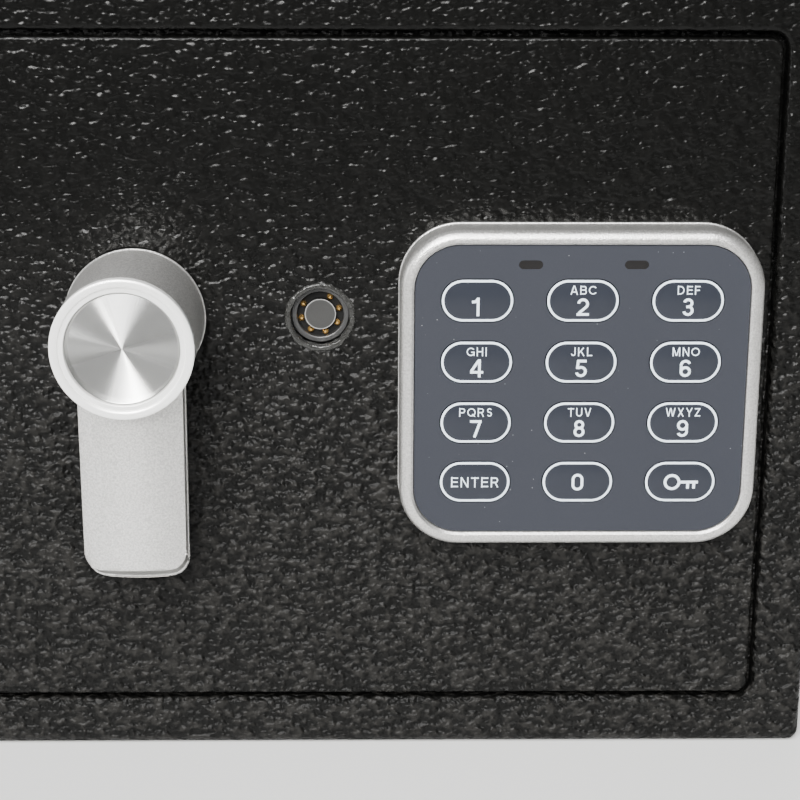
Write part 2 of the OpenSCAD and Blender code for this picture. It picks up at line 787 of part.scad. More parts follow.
module ribbon_cable() color([0.6, 0.6, 0.62]) front() translate([ribbon_x, 0, ribbon_z])
    box([-ribbon_w / 2, switch_y0 + switch_t, -ribbon_t / 2],
        [ribbon_w / 2, board_y0 - ribbon_seat, ribbon_t / 2]);

module reset_button() color([0.7, 0.08, 0.06]) front() translate([reset_x, 0, reset_z]) {
    bar_y(reset_r, pan_y1 - 1, cover_y1 + reset_out);
    bar_y(reset_collar_r, pan_y1 - reset_c - reset_collar_t, pan_y1 - reset_c);
    bar_y(reset_stem_r, board_y1 + switch_h + reset_c + reset_travel, pan_y1 - 1);
}

module bolt_carriage() color([0.72, 0.72, 0.68]) front() difference() {
    union() {
        plate(carriage_y0, carriage_y1) {
            translate([spine_x0, mid_z - spine_h / 2]) square([spine_w, spine_h]);
            translate([slot_x, arm_z0]) square([spine_x0 - slot_x + 1, arm_h]);
            translate([plunger_x - step_lead, arm_z0 - notch_d])
                square([spine_x0 - plunger_x + step_lead + 1, notch_d + 1]);
            translate([slot_x - head_half, slot_z0 - head_drop])
                square([2 * head_half, arm_z1 - slot_z0 + head_drop]);
        }
        box([flange_x1 - carriage_t, carriage_y0, mid_z - spine_h / 2],
            [flange_x1, flange_y1, mid_z + spine_h / 2]);
    }
    translate([slot_x, 0, 0]) plate(carriage_y0 - 1, carriage_y1 + 1) {
        slot_z1 = handle_z - crank_r * cos(handle_turn / 2) + slot_end;
        translate([-slot_r, slot_z0 + slot_r]) square([2 * slot_r, slot_z1 - slot_z0 - slot_r]);
        translate([0, slot_z0 + slot_r]) circle(r = slot_r);
        translate([0, slot_z1]) circle(r = slot_r);
    }
    stud_places() translate([-throw_x / 2, 0, 0]) plate(carriage_y0 - 1, carriage_y1 + 1)
        capsule(throw_x + stud_d + 2 * bolt_c, stud_d + 2 * bolt_c);
    for (z = [-1, 1]) translate([0, bolt_y, mid_z + z * bolt_span / 2])
        bar_x(tenon_r, flange_x1 - carriage_t - 1, flange_x1 + 1);
}

// The three studs that guide the carriage
module stud_places() {
    for (z = [-1, 1]) translate([stud_x, 0, mid_z + z * stud_span / 2]) children();
    translate([arm_stud_x, 0, arm_z0 + arm_h / 2]) children();
}

module carriage_studs() color([0.7, 0.7, 0.72]) front() stud_places() {
    bar_y(stud_foot_r, door_t, carriage_y0 - stud_side_gap);
    bar_y(stud_d / 2, door_t, carriage_y1 + stud_side_gap);
    bar_y(stud_foot_r, carriage_y1 + stud_side_gap, carriage_y1 + stud_side_gap + stud_head_t);
}

module live_bolts() color([0.78, 0.78, 0.8]) front() for (z = [-1, 1])
    translate([0, bolt_y, mid_z + z * bolt_span / 2]) {
        tip = 1.2;
        bar_x(bolt_d / 2, flange_x1, bolt_tip - tip);
        translate([bolt_tip - tip, 0, 0]) rotate([0, 90, 0])
            cylinder(r1 = bolt_d / 2, r2 = bolt_d / 2 - tip, h = tip);
        bar_x(tenon_r, flange_x1 - carriage_t - rivet_t, flange_x1);
        bar_x(rivet_r, flange_x1 - carriage_t - rivet_t, flange_x1 - carriage_t);
    }

module solenoid_frame() color([0.6, 0.6, 0.55]) front() translate([plunger_x, 0, 0]) difference() {
    union() {
        box([-solenoid_w / 2, door_t, solenoid_z0], [solenoid_w / 2, door_t + solenoid_t, solenoid_z1]);
        box([-solenoid_w / 2 - solenoid_ear, door_t, solenoid_z0],
            [-solenoid_w / 2, door_t + solenoid_t, solenoid_z0 + solenoid_ear_h]);
        for (z = [solenoid_z0, coil_z1])
            box([-solenoid_w / 2, door_t, z], [solenoid_w / 2, plunger_y + coil_r + 1, z + solenoid_t]);
    }
    translate([0, plunger_y, coil_z1 - 1]) cylinder(r = armature_r + 0.3, h = solenoid_t + 2);
    solenoid_screw_places() bar_y(screw_r, door_t - 1, door_t + solenoid_t + 1);
}

module solenoid_screw_places() {
    for (z = [solenoid_ear / 2, solenoid_ear_h - solenoid_ear / 2])
        translate([-(solenoid_w + solenoid_ear) / 2, 0, solenoid_z0 + z]) children();
}

module solenoid_coil() color([0.55, 0.25, 0.12]) front() translate([plunger_x, plunger_y, 0]) difference() {
    rim = 1.2;
    union() {
        translate([0, 0, coil_z0]) cylinder(r = coil_r - 0.8, h = coil_h);
        for (z = [coil_z0, coil_z1 - rim]) translate([0, 0, z]) cylinder(r = coil_r, h = rim);
    }
    translate([0, 0, coil_z0 - 1]) cylinder(r = armature_r + 0.3, h = coil_h + 2);
}

module solenoid_plunger() color([0.72, 0.72, 0.74]) front() translate([plunger_x, plunger_y, 0]) {
    tip_z = arm_z0 - notch_d - tip_gap;
    point = 0.6;
    translate([0, 0, armature_z0]) cylinder(r = armature_r, h = collar_z0 - armature_z0);
    translate([0, 0, collar_z0]) cylinder(r = collar_r, h = collar_t);
    translate([0, 0, collar_z1]) cylinder(r = plunger_r, h = tip_z - collar_z1 - point);
    translate([0, 0, tip_z - point]) cylinder(r1 = plunger_r, r2 = plunger_r - point, h = point);
}

// A wound sleeve cut into open turns stands for the spring
module plunger_spring() color([0.6, 0.6, 0.62]) front() translate([plunger_x, plunger_y, solenoid_z1]) {
    r = armature_r + 0.3 + spring_wire / 2;
    difference() {
        cylinder(r = r + spring_wire / 2, h = spring_len);
        translate([0, 0, -1]) cylinder(r = r - spring_wire / 2, h = spring_len + 2);
        for (n = [0:spring_turns - 1]) translate([0, 0, (n + 0.5) * spring_len / spring_turns])
            rotate([0, 0, n * 180]) rotate_extrude(angle = 300) translate([r - 1, -0.35]) square([2, 0.7]);
    }
}

// Screw from behind into the door plate, through a part of thickness t
module mount_screw(t) {
    bar_y(screw_r, door_t - mount_screw_in, door_t + t);
    bar_y(mount_head_r, door_t + t, door_t + t + mount_head_t);
}

module mount_screws() color([0.7, 0.7, 0.72]) front() {
    translate([plunger_x, 0, 0]) solenoid_screw_places() mount_screw(solenoid_t);
    lock_screw_places() mount_screw(lock_flange_t);
}

module lock_screw_places() {
    for (z = [-1, 1]) translate([lock_x, 0, lock_z + z * (lock_flange_r - 0.5)]) children();
}

// Slice of the grip from height h0 to h1 above the door, grown by a lip. It is cut from a bar with
// round corners, tilted so that the end slopes outwards to the back.
module grip_slice(h0, h1, lip) {
    w = grip_w + 2 * lip;
    tilted_len = grip_len + 2 * grip_top;
    intersection() {
        translate([0, -grip_top, -grip_len - lip]) rotate([-grip_slope, 0, 0]) plate(-grip_top, 2 * grip_top)
            translate([0, tilted_len / 2]) round_rect(w, tilted_len, grip_corner);
        box([-w / 2, -h1, -2 * grip_len], [w / 2, -h0, 0]);
    }
}

module handle_lever() color([0.82, 0.82, 0.81]) front() translate([handle_x, 0, handle_z]) {
    crown_r = (pow(grip_w / 2, 2) + pow(grip_crown, 2)) / (2 * grip_crown);
    difference() {
        union() {
            bar_y(barrel_d / 2, barrel_y1, lever_y0);
            intersection() {
                grip_slice(grip_back + back_t, grip_top, 0);
                translate([0, crown_r - grip_top, -2 * grip_len])
                    cylinder(r = crown_r, h = 2 * grip_len, $fn = 180);
            }
        }
        bar_y(ring_step_r - 1.4, barrel_y1 - 1, barrel_y1 + seat_depth);
        box([-spindle_square / 2, lever_y0 - spindle_in, -spindle_square / 2],
            [spindle_square / 2, lever_y0 + 1, spindle_square / 2]);
    }
}

module handle_back_plate() color([0.78, 0.78, 0.78]) front() translate([handle_x, 0, handle_z]) difference() {
    grip_slice(grip_back, grip_back + back_t, back_lip);
    bar_y(barrel_d / 2, -grip_back - back_t - 1, -grip_back + 1);
}

module handle_ring() color([0.9, 0.9, 0.9]) front() translate([handle_x, -handle_reach, handle_z])
    rotate([-90, 0, 0]) rotate_extrude() {
        spigot = 1.6;
        difference() {
            translate([ring_lip_r, 0]) square([ring_d / 2 - ring_lip_r, ring_t]);
            translate([ring_lip_r - 1, -1]) square([ring_step_r - ring_lip_r + 1, 1 + ring_step_t]);
            translate([ring_d / 2 - ring_round, 0]) difference() {
                translate([0, -0.01]) square([ring_round + 1, ring_round + 0.01]);
                translate([0, ring_round]) circle(r = ring_round);
            }
        }
        translate([ring_step_r - 2.4, disc_in + disc_t]) square([1, ring_t + spigot - disc_in - disc_t]);
        translate([ring_step_r - 2.4, disc_in + disc_t]) square([2, ring_t - disc_in - disc_t]);
    }

module handle_disc() color([0.85, 0.85, 0.86]) front() translate([handle_x, -handle_reach, handle_z])
    bar_y(disc_d / 2, disc_in, disc_in + disc_t);

module handle_washer() color([0.1, 0.1, 0.1]) front() translate([handle_x, 0, handle_z]) difference() {
    bar_y(barrel_d / 2 - 0.5, -washer_t, 0);
    bar_y(spindle_hole_r, -washer_t - 1, 1);
}

module spindle() color([0.65, 0.65, 0.66]) front() translate([handle_x, 0, handle_z]) difference() {
    union() {
        half = spindle_square / 2;
        box([-half, lever_y0 - spindle_in, -half], [half, crank_y0 + crank_t, half]);
        bar_y(spindle_d / 2, lever_y0, crank_y0);
    }
    bar_y(crank_screw_r, crank_y0 + crank_t - crank_screw_len - 1, crank_y0 + crank_t + 1);
}

module spindle_bush() color([0.75, 0.62, 0.35]) front() translate([handle_x, 0, handle_z]) difference() {
    union() {
        bar_y(spindle_hole_r, -washer_t, door_t);
        bar_y(bush_plate_r, door_t, door_t + bush_plate_t);
    }
    bar_y(spindle_d / 2 + run_c, -washer_t - 1, door_t + bush_plate_t + 1);
}

module drive_crank() color([0.7, 0.7, 0.68]) front() translate([handle_x, 0, handle_z]) {
    difference() {
        plate(crank_y0, crank_y0 + crank_t) {
            circle(r = crank_hub_r);
            rotate(180 - handle_turn / 2) {
                translate([-crank_end_r, 0]) square([2 * crank_end_r, crank_r]);
                translate([0, crank_r]) circle(r = crank_end_r);
            }
        }
        box([-spindle_square / 2, crank_y0 - 1, -spindle_square / 2],
            [spindle_square / 2, crank_y0 + crank_t + 1, spindle_square / 2]);
    }
    rotate([0, handle_turn / 2, 0]) translate([0, 0, -crank_r])
        bar_y(crank_pin_r, crank_y0 + crank_t / 2, carriage_y1 + crank_pin_out);
}

module crank_screw() color([0.7, 0.7, 0.72]) front() translate([handle_x, 0, handle_z]) difference() {
    screw_y = crank_y0 + crank_t;
    union() {
        bar_y(crank_screw_r, screw_y - crank_screw_len, screw_y);
        bar_y(crank_head_r, screw_y, screw_y + crank_head_t);
    }
    for (turn = [0, 90]) rotate([0, turn, 0])
        box([-2.4, screw_y + crank_head_t - 0.9, -0.5], [2.4, screw_y + crank_head_t + 1, 0.5]);
}

module lock_barrel() color([0.6, 0.6, 0.6]) front() translate([lock_x, 0, lock_z]) difference() {
    union() {
        bar_y(lock_tube_r, lock_in, door_t);
        bar_y(lock_body_r, door_t, lock_y1);
        intersection() {
            bar_y(lock_flange_r + 3, door_t, door_t + lock_flange_t);
            box([-6, door_t - 1, -lock_flange_r - 4], [6, door_t + lock_flange_t + 1, lock_flange_r + 4]);
        }
    }
    bar_y(plug_r + run_c, lock_in - 1, lock_y1 + 1);
    translate([-lock_x, 0, -lock_z]) lock_screw_places()
        bar_y(screw_r, door_t - 1, door_t + lock_flange_t + 1);
}

// The pins stand in all places of the ring but the last
module pin_ring() {
    for (n = [0:pin_places - 2]) rotate([0, pin_start + n * 360 / pin_places, 0])
        translate([0, 0, pin_ring_r]) children();
}

module lock_plug() color([0.5, 0.5, 0.5]) front() translate([lock_x, 0, lock_z]) difference() {
    union() {
        bar_y(plug_r, plug_y0, cam_y0);
        bar_y(post_d / 2, lock_in + 0.1, plug_y0);
        box([-cam_square / 2, cam_y0, -cam_square / 2], [cam_square / 2, cam_y0 + cam_t, cam_square / 2]);
    }
    pin_ring() bar_y(pin_d / 2, plug_y0 - 1, plug_y0 + pin_in);
    bar_y(screw_r, cam_y0 - 6, cam_y0 + cam_t + 1);
}

module lock_pins() color([0.8, 0.6, 0.3]) front() translate([lock_x, 0, lock_z]) pin_ring() {
    dome = 0.4;
    bar_y(pin_d / 2, plug_y0 - pin_proud + dome, plug_y0 + pin_in);
    translate([0, plug_y0 - pin_proud, 0]) rotate([-90, 0, 0])
        cylinder(r1 = pin_d / 2 - dome, r2 = pin_d / 2, h = dome);
}

module lock_cam() color([0.7, 0.7, 0.68]) front() translate([lock_x, 0, lock_z]) difference() {
    plate(cam_y0, cam_y0 + cam_t) {
        circle(r = cam_hub_r);
        translate([-cam_w / 2, 0]) square([cam_w, cam_reach]);
    }
    box([-cam_square / 2, cam_y0 - 1, -cam_square / 2],
        [cam_square / 2, cam_y0 + cam_t + 1, cam_square / 2]);
}

module cam_screw() color([0.7, 0.7, 0.72]) front() translate([lock_x, 0, lock_z]) difference() {
    head_y = cam_y0 + cam_t;
    union() {
        bar_y(screw_r, head_y - cam_screw_len, head_y);
        bar_y(cam_head_r, head_y, head_y + cam_head_t);
    }
    for (turn = [0, 90]) rotate([0, turn, 0])
        box([-2.2, head_y + 1, -0.45], [2.2, head_y + 3, 0.45]);
}

// Section of the bezel's rim: a rounded outer edge, a bead and a small step to the face
module rim_section() {
    x0 = bezel_r - rim_w;
    difference() {
        translate([x0, 0]) square([rim_w, bezel_t]);
        translate([bezel_r - bead_r, bezel_t - bead_r]) difference() {
            square([bead_r + 1, bead_r + 1]);
            circle(r = bead_r);
        }
        translate([x0 - 1, bezel_t - 0.3]) square([1.6, 1]);
    }
}

module keypad_bezel() color([0.8, 0.8, 0.78]) front() translate([keypad_x, 0, mid_z])
    round_frame(bezel_w, bezel_h, bezel_r) rim_section();

module keypad_face() color([0.36, 0.38, 0.42]) front() difference() {
    translate([keypad_x, 0, mid_z]) plate(face_y0, face_y1) round_rect(face_w, face_h, face_r);
    for (k = [0:11]) translate([key_place(k)[0], 0, key_place(k)[1]]) plate(face_y0 - 1, face_y1 + 1)
        capsule(key_w + 2 * key_c, key_h + 2 * key_c);
    for (x = [-1, 1]) translate([keypad_x + x * key_pitch_x / 2, 0, mid_z + led_up])
        plate(face_y0 - 1, face_y1 + 1) capsule(led_w, led_h);
}

module keypad_base() color([0.09, 0.09, 0.1]) front() difference() {
    translate([keypad_x, 0, mid_z]) union() {
        plate(-base_t, 0) round_rect(face_w, face_h, face_r);
        difference() {
            plate(face_y1, -base_t) round_rect(face_w, face_h, face_r);
            plate(face_y1 - 1, -base_t)
                round_rect(face_w - 2 * base_wall, face_h - 2 * base_wall, face_r - base_wall);
        }
        for (x = [-1, 1], z = [-1, 1]) translate([x * keypad_screw_x, 0, z * keypad_screw_z])
            bar_y(boss_r, face_y1, -base_t);
    }
    for (x = [-1, 1], z = [-1, 1])
        translate([keypad_x + x * keypad_screw_x, 0, mid_z + z * keypad_screw_z])
            bar_y(screw_r, -screw_reach, 1);
    translate([ribbon_x, 0, ribbon_z]) plate(-base_t - 1, 1)
        square([ribbon_w + 2 * ribbon_slot_c, ribbon_t + 2 * ribbon_slot_c], center = true);
}

module switch_board() color([0.1, 0.3, 0.2]) front() translate([keypad_x, 0, mid_z])
    plate(switch_y0, switch_y0 + switch_t)
        round_rect(face_w - 2 * (base_wall + switch_gap), 2 * (keypad_screw_z - boss_r - switch_gap),
            switch_corner);

module switch_domes() color([0.85, 0.85, 0.82]) front() for (k = [0:11])
    translate([key_place(k)[0], 0, key_place(k)[1]]) plate(dome_y0, switch_y0) capsule(dome_w, dome_h);

module led_windows() color([0.12, 0.1, 0.09]) front() for (x = [-1, 1])
    translate([keypad_x + x * key_pitch_x / 2, 0, mid_z + led_up]) {
        sink = 0.15;
        plate(face_y0 + sink, face_y1) capsule(led_w, led_h);
        plate(face_y1, -base_t) capsule(led_w - 1.4, led_h - 0.4);
    }

module keypad_screws() color([0.7, 0.7, 0.72]) front() for (x = [-1, 1], z = [-1, 1])
    translate([keypad_x + x * keypad_screw_x, 0, mid_z + z * keypad_screw_z]) {
        bar_y(screw_r, -screw_reach, door_t);
        bar_y(screw_head_r, door_t, door_t + screw_head_t);
    }

// Key number k: a capsule with a wider flange behind the face
module key(k) color([0.32, 0.34, 0.39]) front() translate([key_place(k)[0], 0, key_place(k)[1]]) {
    plate(key_y0, key_y1 - key_flange_t) capsule(key_w, key_h);
    plate(key_y1 - key_flange_t, key_y1) capsule(key_w + 2 * key_flange, key_h + 2 * key_flange);
}

case_shell();
back_panel();
door_stop();
strike_channel();
floor_mat();
hinge_bushes();
door_plate();
hinge_blocks();
hinge_pins();
lock_pan();
inner_cover();
cover_screws();
battery_tray();
battery_cells();
battery_contacts();
battery_lid();
control_board();
ribbon_cable();
reset_button();
bolt_carriage();
live_bolts();
carriage_studs();
solenoid_frame();
solenoid_coil();
solenoid_plunger();
plunger_spring();
mount_screws();
handle_lever();
handle_back_plate();
handle_ring();
handle_disc();
handle_washer();
spindle();
spindle_bush();
drive_crank();
crank_screw();
lock_barrel();
lock_plug();
lock_pins();
lock_cam();
cam_screw();
keypad_bezel();
keypad_face();
keypad_base();
switch_board();
switch_domes();
led_windows();
keypad_screws();
key(0);  // key_1
key(1);  // key_2
key(2);  // key_3
key(3);  // key_4
key(4);  // key_5
key(5);  // key_6
key(6);  // key_7
key(7);  // key_8
key(8);  // key_9
key(9);  // key_enter
key(10);  // key_0
key(11);  // key_open
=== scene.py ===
import math

import bmesh
import bpy
from bmesh.types import BMEdge, BMVert
from bpy.props import FloatProperty, FloatVectorProperty, PointerProperty
from mathutils import Matrix, Vector, noise


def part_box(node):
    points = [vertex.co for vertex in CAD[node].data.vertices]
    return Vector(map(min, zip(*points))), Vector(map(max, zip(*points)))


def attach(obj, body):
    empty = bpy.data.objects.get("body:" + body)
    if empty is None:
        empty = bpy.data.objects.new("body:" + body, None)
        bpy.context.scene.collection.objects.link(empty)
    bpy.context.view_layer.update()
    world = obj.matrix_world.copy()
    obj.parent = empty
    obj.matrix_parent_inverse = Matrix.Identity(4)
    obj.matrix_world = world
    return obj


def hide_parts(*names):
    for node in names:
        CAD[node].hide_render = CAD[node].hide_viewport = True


bl_info = {
    "name": "Electronic Safe Finish",
    "version": (1, 0, 0),
    "blender": (4, 5, 0),
    "location": "View3D > Sidebar > Safe",
    "description": "Dresses a small electronic safe: textured coat, lever handle, tubular lock and keypad",
    "category": "Object",
}

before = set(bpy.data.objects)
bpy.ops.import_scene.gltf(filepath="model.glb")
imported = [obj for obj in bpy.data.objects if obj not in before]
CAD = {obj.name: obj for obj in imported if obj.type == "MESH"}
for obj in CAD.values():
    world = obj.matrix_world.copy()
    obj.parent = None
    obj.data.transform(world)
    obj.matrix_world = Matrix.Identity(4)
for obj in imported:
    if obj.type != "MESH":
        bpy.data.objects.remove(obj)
MM = 0.001
FORWARD = Vector((0, -1, 0))
# A wave texture of scale 1 has about this many bands in a metre.
BANDS_AT_1 = 3.2


def middle(node):
    """Middle of a CAD node's box."""
    low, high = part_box(node)
    return (low + high) / 2


def span(node):
    """Size of a CAD node's box along each axis."""
    low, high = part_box(node)
    return high - low


DOOR_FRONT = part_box("door_plate")[0].y


def on_door(node):
    """Middle of a CAD node's box, brought to the door's front."""
    place = middle(node)
    place.y = DOOR_FRONT
    return place


def heights(node):
    """Heights of a CAD node's back and front over the door's front."""
    low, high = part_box(node)
    return DOOR_FRONT - high.y, DOOR_FRONT - low.y


def length(name, description, default):
    """Property for a size in metres."""
    return FloatProperty(name=name, description=description, default=default, unit="LENGTH", precision=5)


def colour(name, description, default):
    """Property for a linear colour."""
    return FloatVectorProperty(name=name, description=description, default=default, subtype="COLOR",
                               size=3, min=0, max=1)


def shade(tone, share):
    """A colour made lighter or darker by a share."""
    return tuple(min(1, c * share) for c in tone)


class SafeSizes(bpy.types.PropertyGroup):
    """Sizes of the details that the finish adds"""
    barrel_r: length("Barrel radius", "Radius of the handle's barrel at its front", 14.2 * MM)
    crown: length("Grip crown", "Height of the middle of the grip's front over the door", 18.8 * MM)
    crown_drop: length("Crown drop", "Fall of the grip's front from its middle to its sides", 3.6 * MM)
    lip: length("Ring lip", "Width of the handle ring's rounded outer lip", 1.65 * MM)
    groove_pitch: length("Groove pitch", "Distance between the turning marks of the spun disc", 0.21 * MM)
    groove_depth: length("Groove depth", "Depth of the disc's turning marks", 0.048 * MM)
    foot: length("Barrel foot", "Height of the bright edge at the foot of the handle's barrel", 0.45 * MM)
    end_corner: length("Grip corner", "Corner radius of the grip's end", 3.5 * MM)
    end_bow: length("Grip bow", "Bow of the grip's end across its width", 0.9 * MM)
    end_line: length("Grip line", "Depth of the fine groove across the grip's end", 0.8 * MM)
    bead: length("Bezel bead", "Radius of the bezel's rounded outer edge", 2.0 * MM)
    bezel_corner: length("Bezel corner", "Corner radius of the bezel", 12.8 * MM)
    rim: length("Key rim", "Width of each key outside its white line", 0.13 * MM)
    outline: length("Key outline", "Width of the white line round each key", 0.48 * MM)
    dome: length("Key dome", "Rise of each key inside its line", 0.28 * MM)
    digit: length("Digit height", "Height of the digits on the keys", 3.95 * MM)
    digit_place: length("Digit place", "Place of the digits over the middle of a key", -1.26 * MM)
    letter: length("Letter height", "Height of the letters above the digits", 1.87 * MM)
    letter_place: length("Letter place", "Place of the letters over the middle of a key", 2.31 * MM)
    word: length("Word height", "Height of the word on the enter key", 2.3 * MM)


class SafeColours(bpy.types.PropertyGroup):
    """Base colours of the finishes"""
    coat: colour("Textured coat", "Black powder coat of the case and the door", (0.0032, 0.0032, 0.003))
    # Painted sheen: a greyer tone painted on the crests of the coat's grains, strongest low on the door
    # and on top of the case.
    painted_sheen: colour("Coat grain", "Greyer tone on the grains of the coat", (0.013, 0.0125, 0.0116))
    silver: colour("Silver paint", "Fine metallic paint of the grip and the bezel", (0.735, 0.725, 0.705))
    ring: colour("Ring", "Satin metal of the handle's front ring", (0.97, 0.97, 0.95))
    disc: colour("Spun disc", "Turned metal in the handle's ring", (0.52, 0.52, 0.51))
    face: colour("Keypad face", "Matte panel round the keys", (0.0245, 0.0265, 0.0335))
    key: colour("Key", "Glossy field inside each white line", (0.0195, 0.022, 0.029))
    ink: colour("Ink", "Lines and legends on the keys", (0.74, 0.84, 0.93))
    zinc: colour("Zinc", "Plated steel of the boltwork", (0.6, 0.6, 0.57))
    brass: colour("Brass", "Pins of the override lock", (0.8, 0.5, 0.17))


class Wire:
    """A socket of a material's node tree. Arithmetic on it adds Math nodes."""

    def __init__(self, tree, socket):
        self.tree = tree
        self.socket = socket

    def math(self, operation, *values):
        """Math node of the values, which are numbers or wires."""
        node = self.tree.nodes.new("ShaderNodeMath")
        node.operation = operation
        for slot, value in zip(node.inputs, values):
            if isinstance(value, Wire):
                self.tree.links.new(value.socket, slot)
            else:
                slot.default_value = value
        return Wire(self.tree, node.outputs[0])

    def __add__(self, other):
        return self.math("ADD", self, other)

    __radd__ = __add__

    def __rsub__(self, other):
        return self.math("SUBTRACT", other, self)

    def __mul__(self, other):
        return self.math("MULTIPLY", self, other)


class Finish:
    """A material under construction: its node tree, and short ways to add nodes to it."""

    def __init__(self, name):
        self.material = bpy.data.materials.new(name)
        self.material.use_nodes = True
        self.tree = self.material.node_tree
        self.shader = self.tree.nodes["Principled BSDF"]
        self.colours = bpy.context.scene.safe_colours
        self.place = self.add("TexCoord", output="Object")

    def add(self, kind, settings=None, inputs=None, output=0):
        """Adds a node: its settings first, then the values or links of its sockets."""
        node = self.tree.nodes.new("ShaderNode" + kind)
        for name, value in (settings or {}).items():
            setattr(node, name, value)
        for name, value in (inputs or {}).items():
            if isinstance(value, Wire):
                self.tree.links.new(value.socket, node.inputs[name])
            else:
                node.inputs[name].default_value = value
        return Wire(self.tree, node.outputs[output])

    def moved(self, centre=(0, 0, 0), scale=(1, 1, 1), turn=(0, 0, 0)):
        """Object coordinates about a centre, stretched and turned."""
        shifted = self.add("Mapping", None, {"Vector": self.place, "Location": [-c for c in centre]})
        return self.add("Mapping", None, {"Vector": shifted, "Scale": scale, "Rotation": turn})

    def axis(self, which):
        """One of the object coordinates."""
        return self.add("SeparateXYZ", None, {"Vector": self.place}, output="XYZ".index(which))

    def radius(self, centre):
        """Distance from an axis along Y through a centre."""
        return self.add("VectorMath", {"operation": "LENGTH"}, {0: self.moved(centre, (1, 0, 1))},
                        output="Value")

    def noise(self, size, detail=2, roughness=0.5, distortion=0, vector=None):
        """Soft noise from 0 to 1, with features of about a size in metres."""
        return self.add("TexNoise", None, {"Vector": vector or self.place, "Scale": 1 / size,
                                           "Detail": detail, "Roughness": roughness,
                                           "Distortion": distortion})

    def cells(self, size, smooth):
        """Rounded cells of about a size in metres: 0 at each middle."""
        return self.add("TexVoronoi", {"feature": "SMOOTH_F1"},
                        {"Vector": self.place, "Scale": 1 / size, "Smoothness": smooth})

    def bands(self, direction, inputs):
        """Soft bands across a direction of the object coordinates."""
        return self.add("TexWave", {"wave_type": "BANDS", "bands_direction": direction}, inputs)

    def step(self, value, start, stop):
        """0 up to the start and 1 from the stop on, with a smooth rise between. Either may be higher."""
        return self.add("MapRange", {"interpolation_type": "SMOOTHSTEP"},
                        {"Value": value, "From Min": start, "From Max": stop})

    def between(self, value, low, high, start, stop):
        """1 between low and high. It rises from 0 over the start to stop distances in from each."""
        return self.step(value, low + start, low + stop) * self.step(value, high - start, high - stop)

    def mix(self, share, first, second):
        """Colour that goes from the first to the second with the share."""
        sockets = {0: share, 6: first, 7: second}
        for key in (6, 7):
            if not isinstance(sockets[key], Wire):
                sockets[key] = (*sockets[key], 1)
        return self.add("Mix", {"data_type": "RGBA"}, sockets, output=2)

    def tones(self, share, tone, dark, light):
        """Goes from a dark to a light share of a tone."""
        return self.mix(share, shade(tone, dark), shade(tone, light))

    def relief(self, height, depth, strength=1.0):
        """Bump whose height runs over a depth in metres."""
        return self.add("Bump", None, {"Height": height, "Distance": depth, "Strength": strength},
                        output="Normal")

    def done(self, **sockets):
        """Sets or links the shader's sockets and gives back the material."""
        for name, value in sockets.items():
            socket = self.shader.inputs[name.replace("_", " ")]
            if isinstance(value, Wire):
                self.tree.links.new(value.socket, socket)
            elif socket.type == "RGBA":
                socket.default_value = (*value, 1)
            else:
                socket.default_value = value
        return self.material


def textured_coat(name="textured_coat", relief=1.0):
    """Black powder coat of rounded grains and short creases. High on the front it is flatter and glossier,
    with single glints.
    Low down and on top of the case it is rougher, and the crests of its grains are painted greyer as a
    painted sheen."""
    m = Finish(name)
    drift = m.noise(5 * MM, 1)
    ripples = m.noise(1.45 * MM, 1.2, 0.45, 0.15, m.moved(scale=(0.75, 1, 1)))
    drops = m.cells(1.2 * MM, 0.9)
    z = m.axis("Z")
    # Mask for the low door and the case's top. It makes the coat rougher and its relief deeper, and sets
    # where the painted sheen goes.
    coarse_and_painted_sheen = m.step(z, 132 * MM, 52 * MM) + m.step(z, 168.5 * MM, 169.9 * MM)
    height = (ripples * 1.2 + (1 - drops) * 0.55 + drift * 0.6) * (0.52 + coarse_and_painted_sheen * 1.65)
    fine = m.noise(0.3 * MM, 1)
    tone = m.tones(ripples, m.colours.coat, 0.7, 1.3)
    # Painted sheen: the crests of the ripples are painted towards the greyer tone, faintly high on the
    # door and fully low down and on top of the case.
    tone = m.mix(m.step(ripples, 0.44, 0.66) * (0.05 + coarse_and_painted_sheen * 0.95), tone, m.colours.painted_sheen)
    return m.done(Base_Color=tone, Roughness=0.19 + coarse_and_painted_sheen * 0.2 + fine * 0.08,
                  Normal=m.relief(height + fine * 0.02, 0.55 * MM, relief), IOR=1.21)


def wet_edge():
    """Thick glossy rim where the coat has run round a hole.
    It is painted several times lighter than the coat: a painted sheen that also lifts the shade on its
    inner wall.
    """
    m = Finish("wet_edge")
    runs = m.noise(0.9 * MM)
    # Painted sheen: the rim is painted 3 to 9 times lighter than the coat, so its shaded inner wall reads
    # grey.
    return m.done(Base_Color=m.tones(runs, m.colours.coat, 3, 9),
                  Roughness=0.12 + runs * 0.12, Normal=m.relief(runs, 0.25 * MM), IOR=1.5)


def silver_paint(name="silver_paint", tone=1.0, rough=0.27):
    """Fine metallic paint: a sandy grain with small bright flakes."""
    m = Finish(name)
    sand = m.noise(0.42 * MM, 2, 0.65)
    flakes = m.step(m.noise(0.3 * MM, 1), 0.6, 0.7)
    cloud = m.noise(4 * MM)
    paint = m.tones(m.step(sand, 0.3, 0.7), m.colours.silver, 0.78 * tone, 1.12 * tone)
    paint = m.mix(flakes * 0.5, paint, shade(m.colours.silver, 1.35 * tone))
    return m.done(Base_Color=paint, Metallic=0.85, Roughness=rough + sand * 0.14 + cloud * 0.04,
                  Normal=m.relief(sand, 0.08 * MM, 0.9))


def satin_ring():
    """Pale satin metal with a fine blasted grain."""
    m = Finish("satin_ring")
    fine = m.noise(0.2 * MM, 2, 0.6)
    return m.done(Base_Color=m.tones(fine, m.colours.ring, 0.97, 1.02),
                  Metallic=0.35, Roughness=0.26 + fine * 0.06, Normal=m.relief(fine, 0.006 * MM, 0.6))


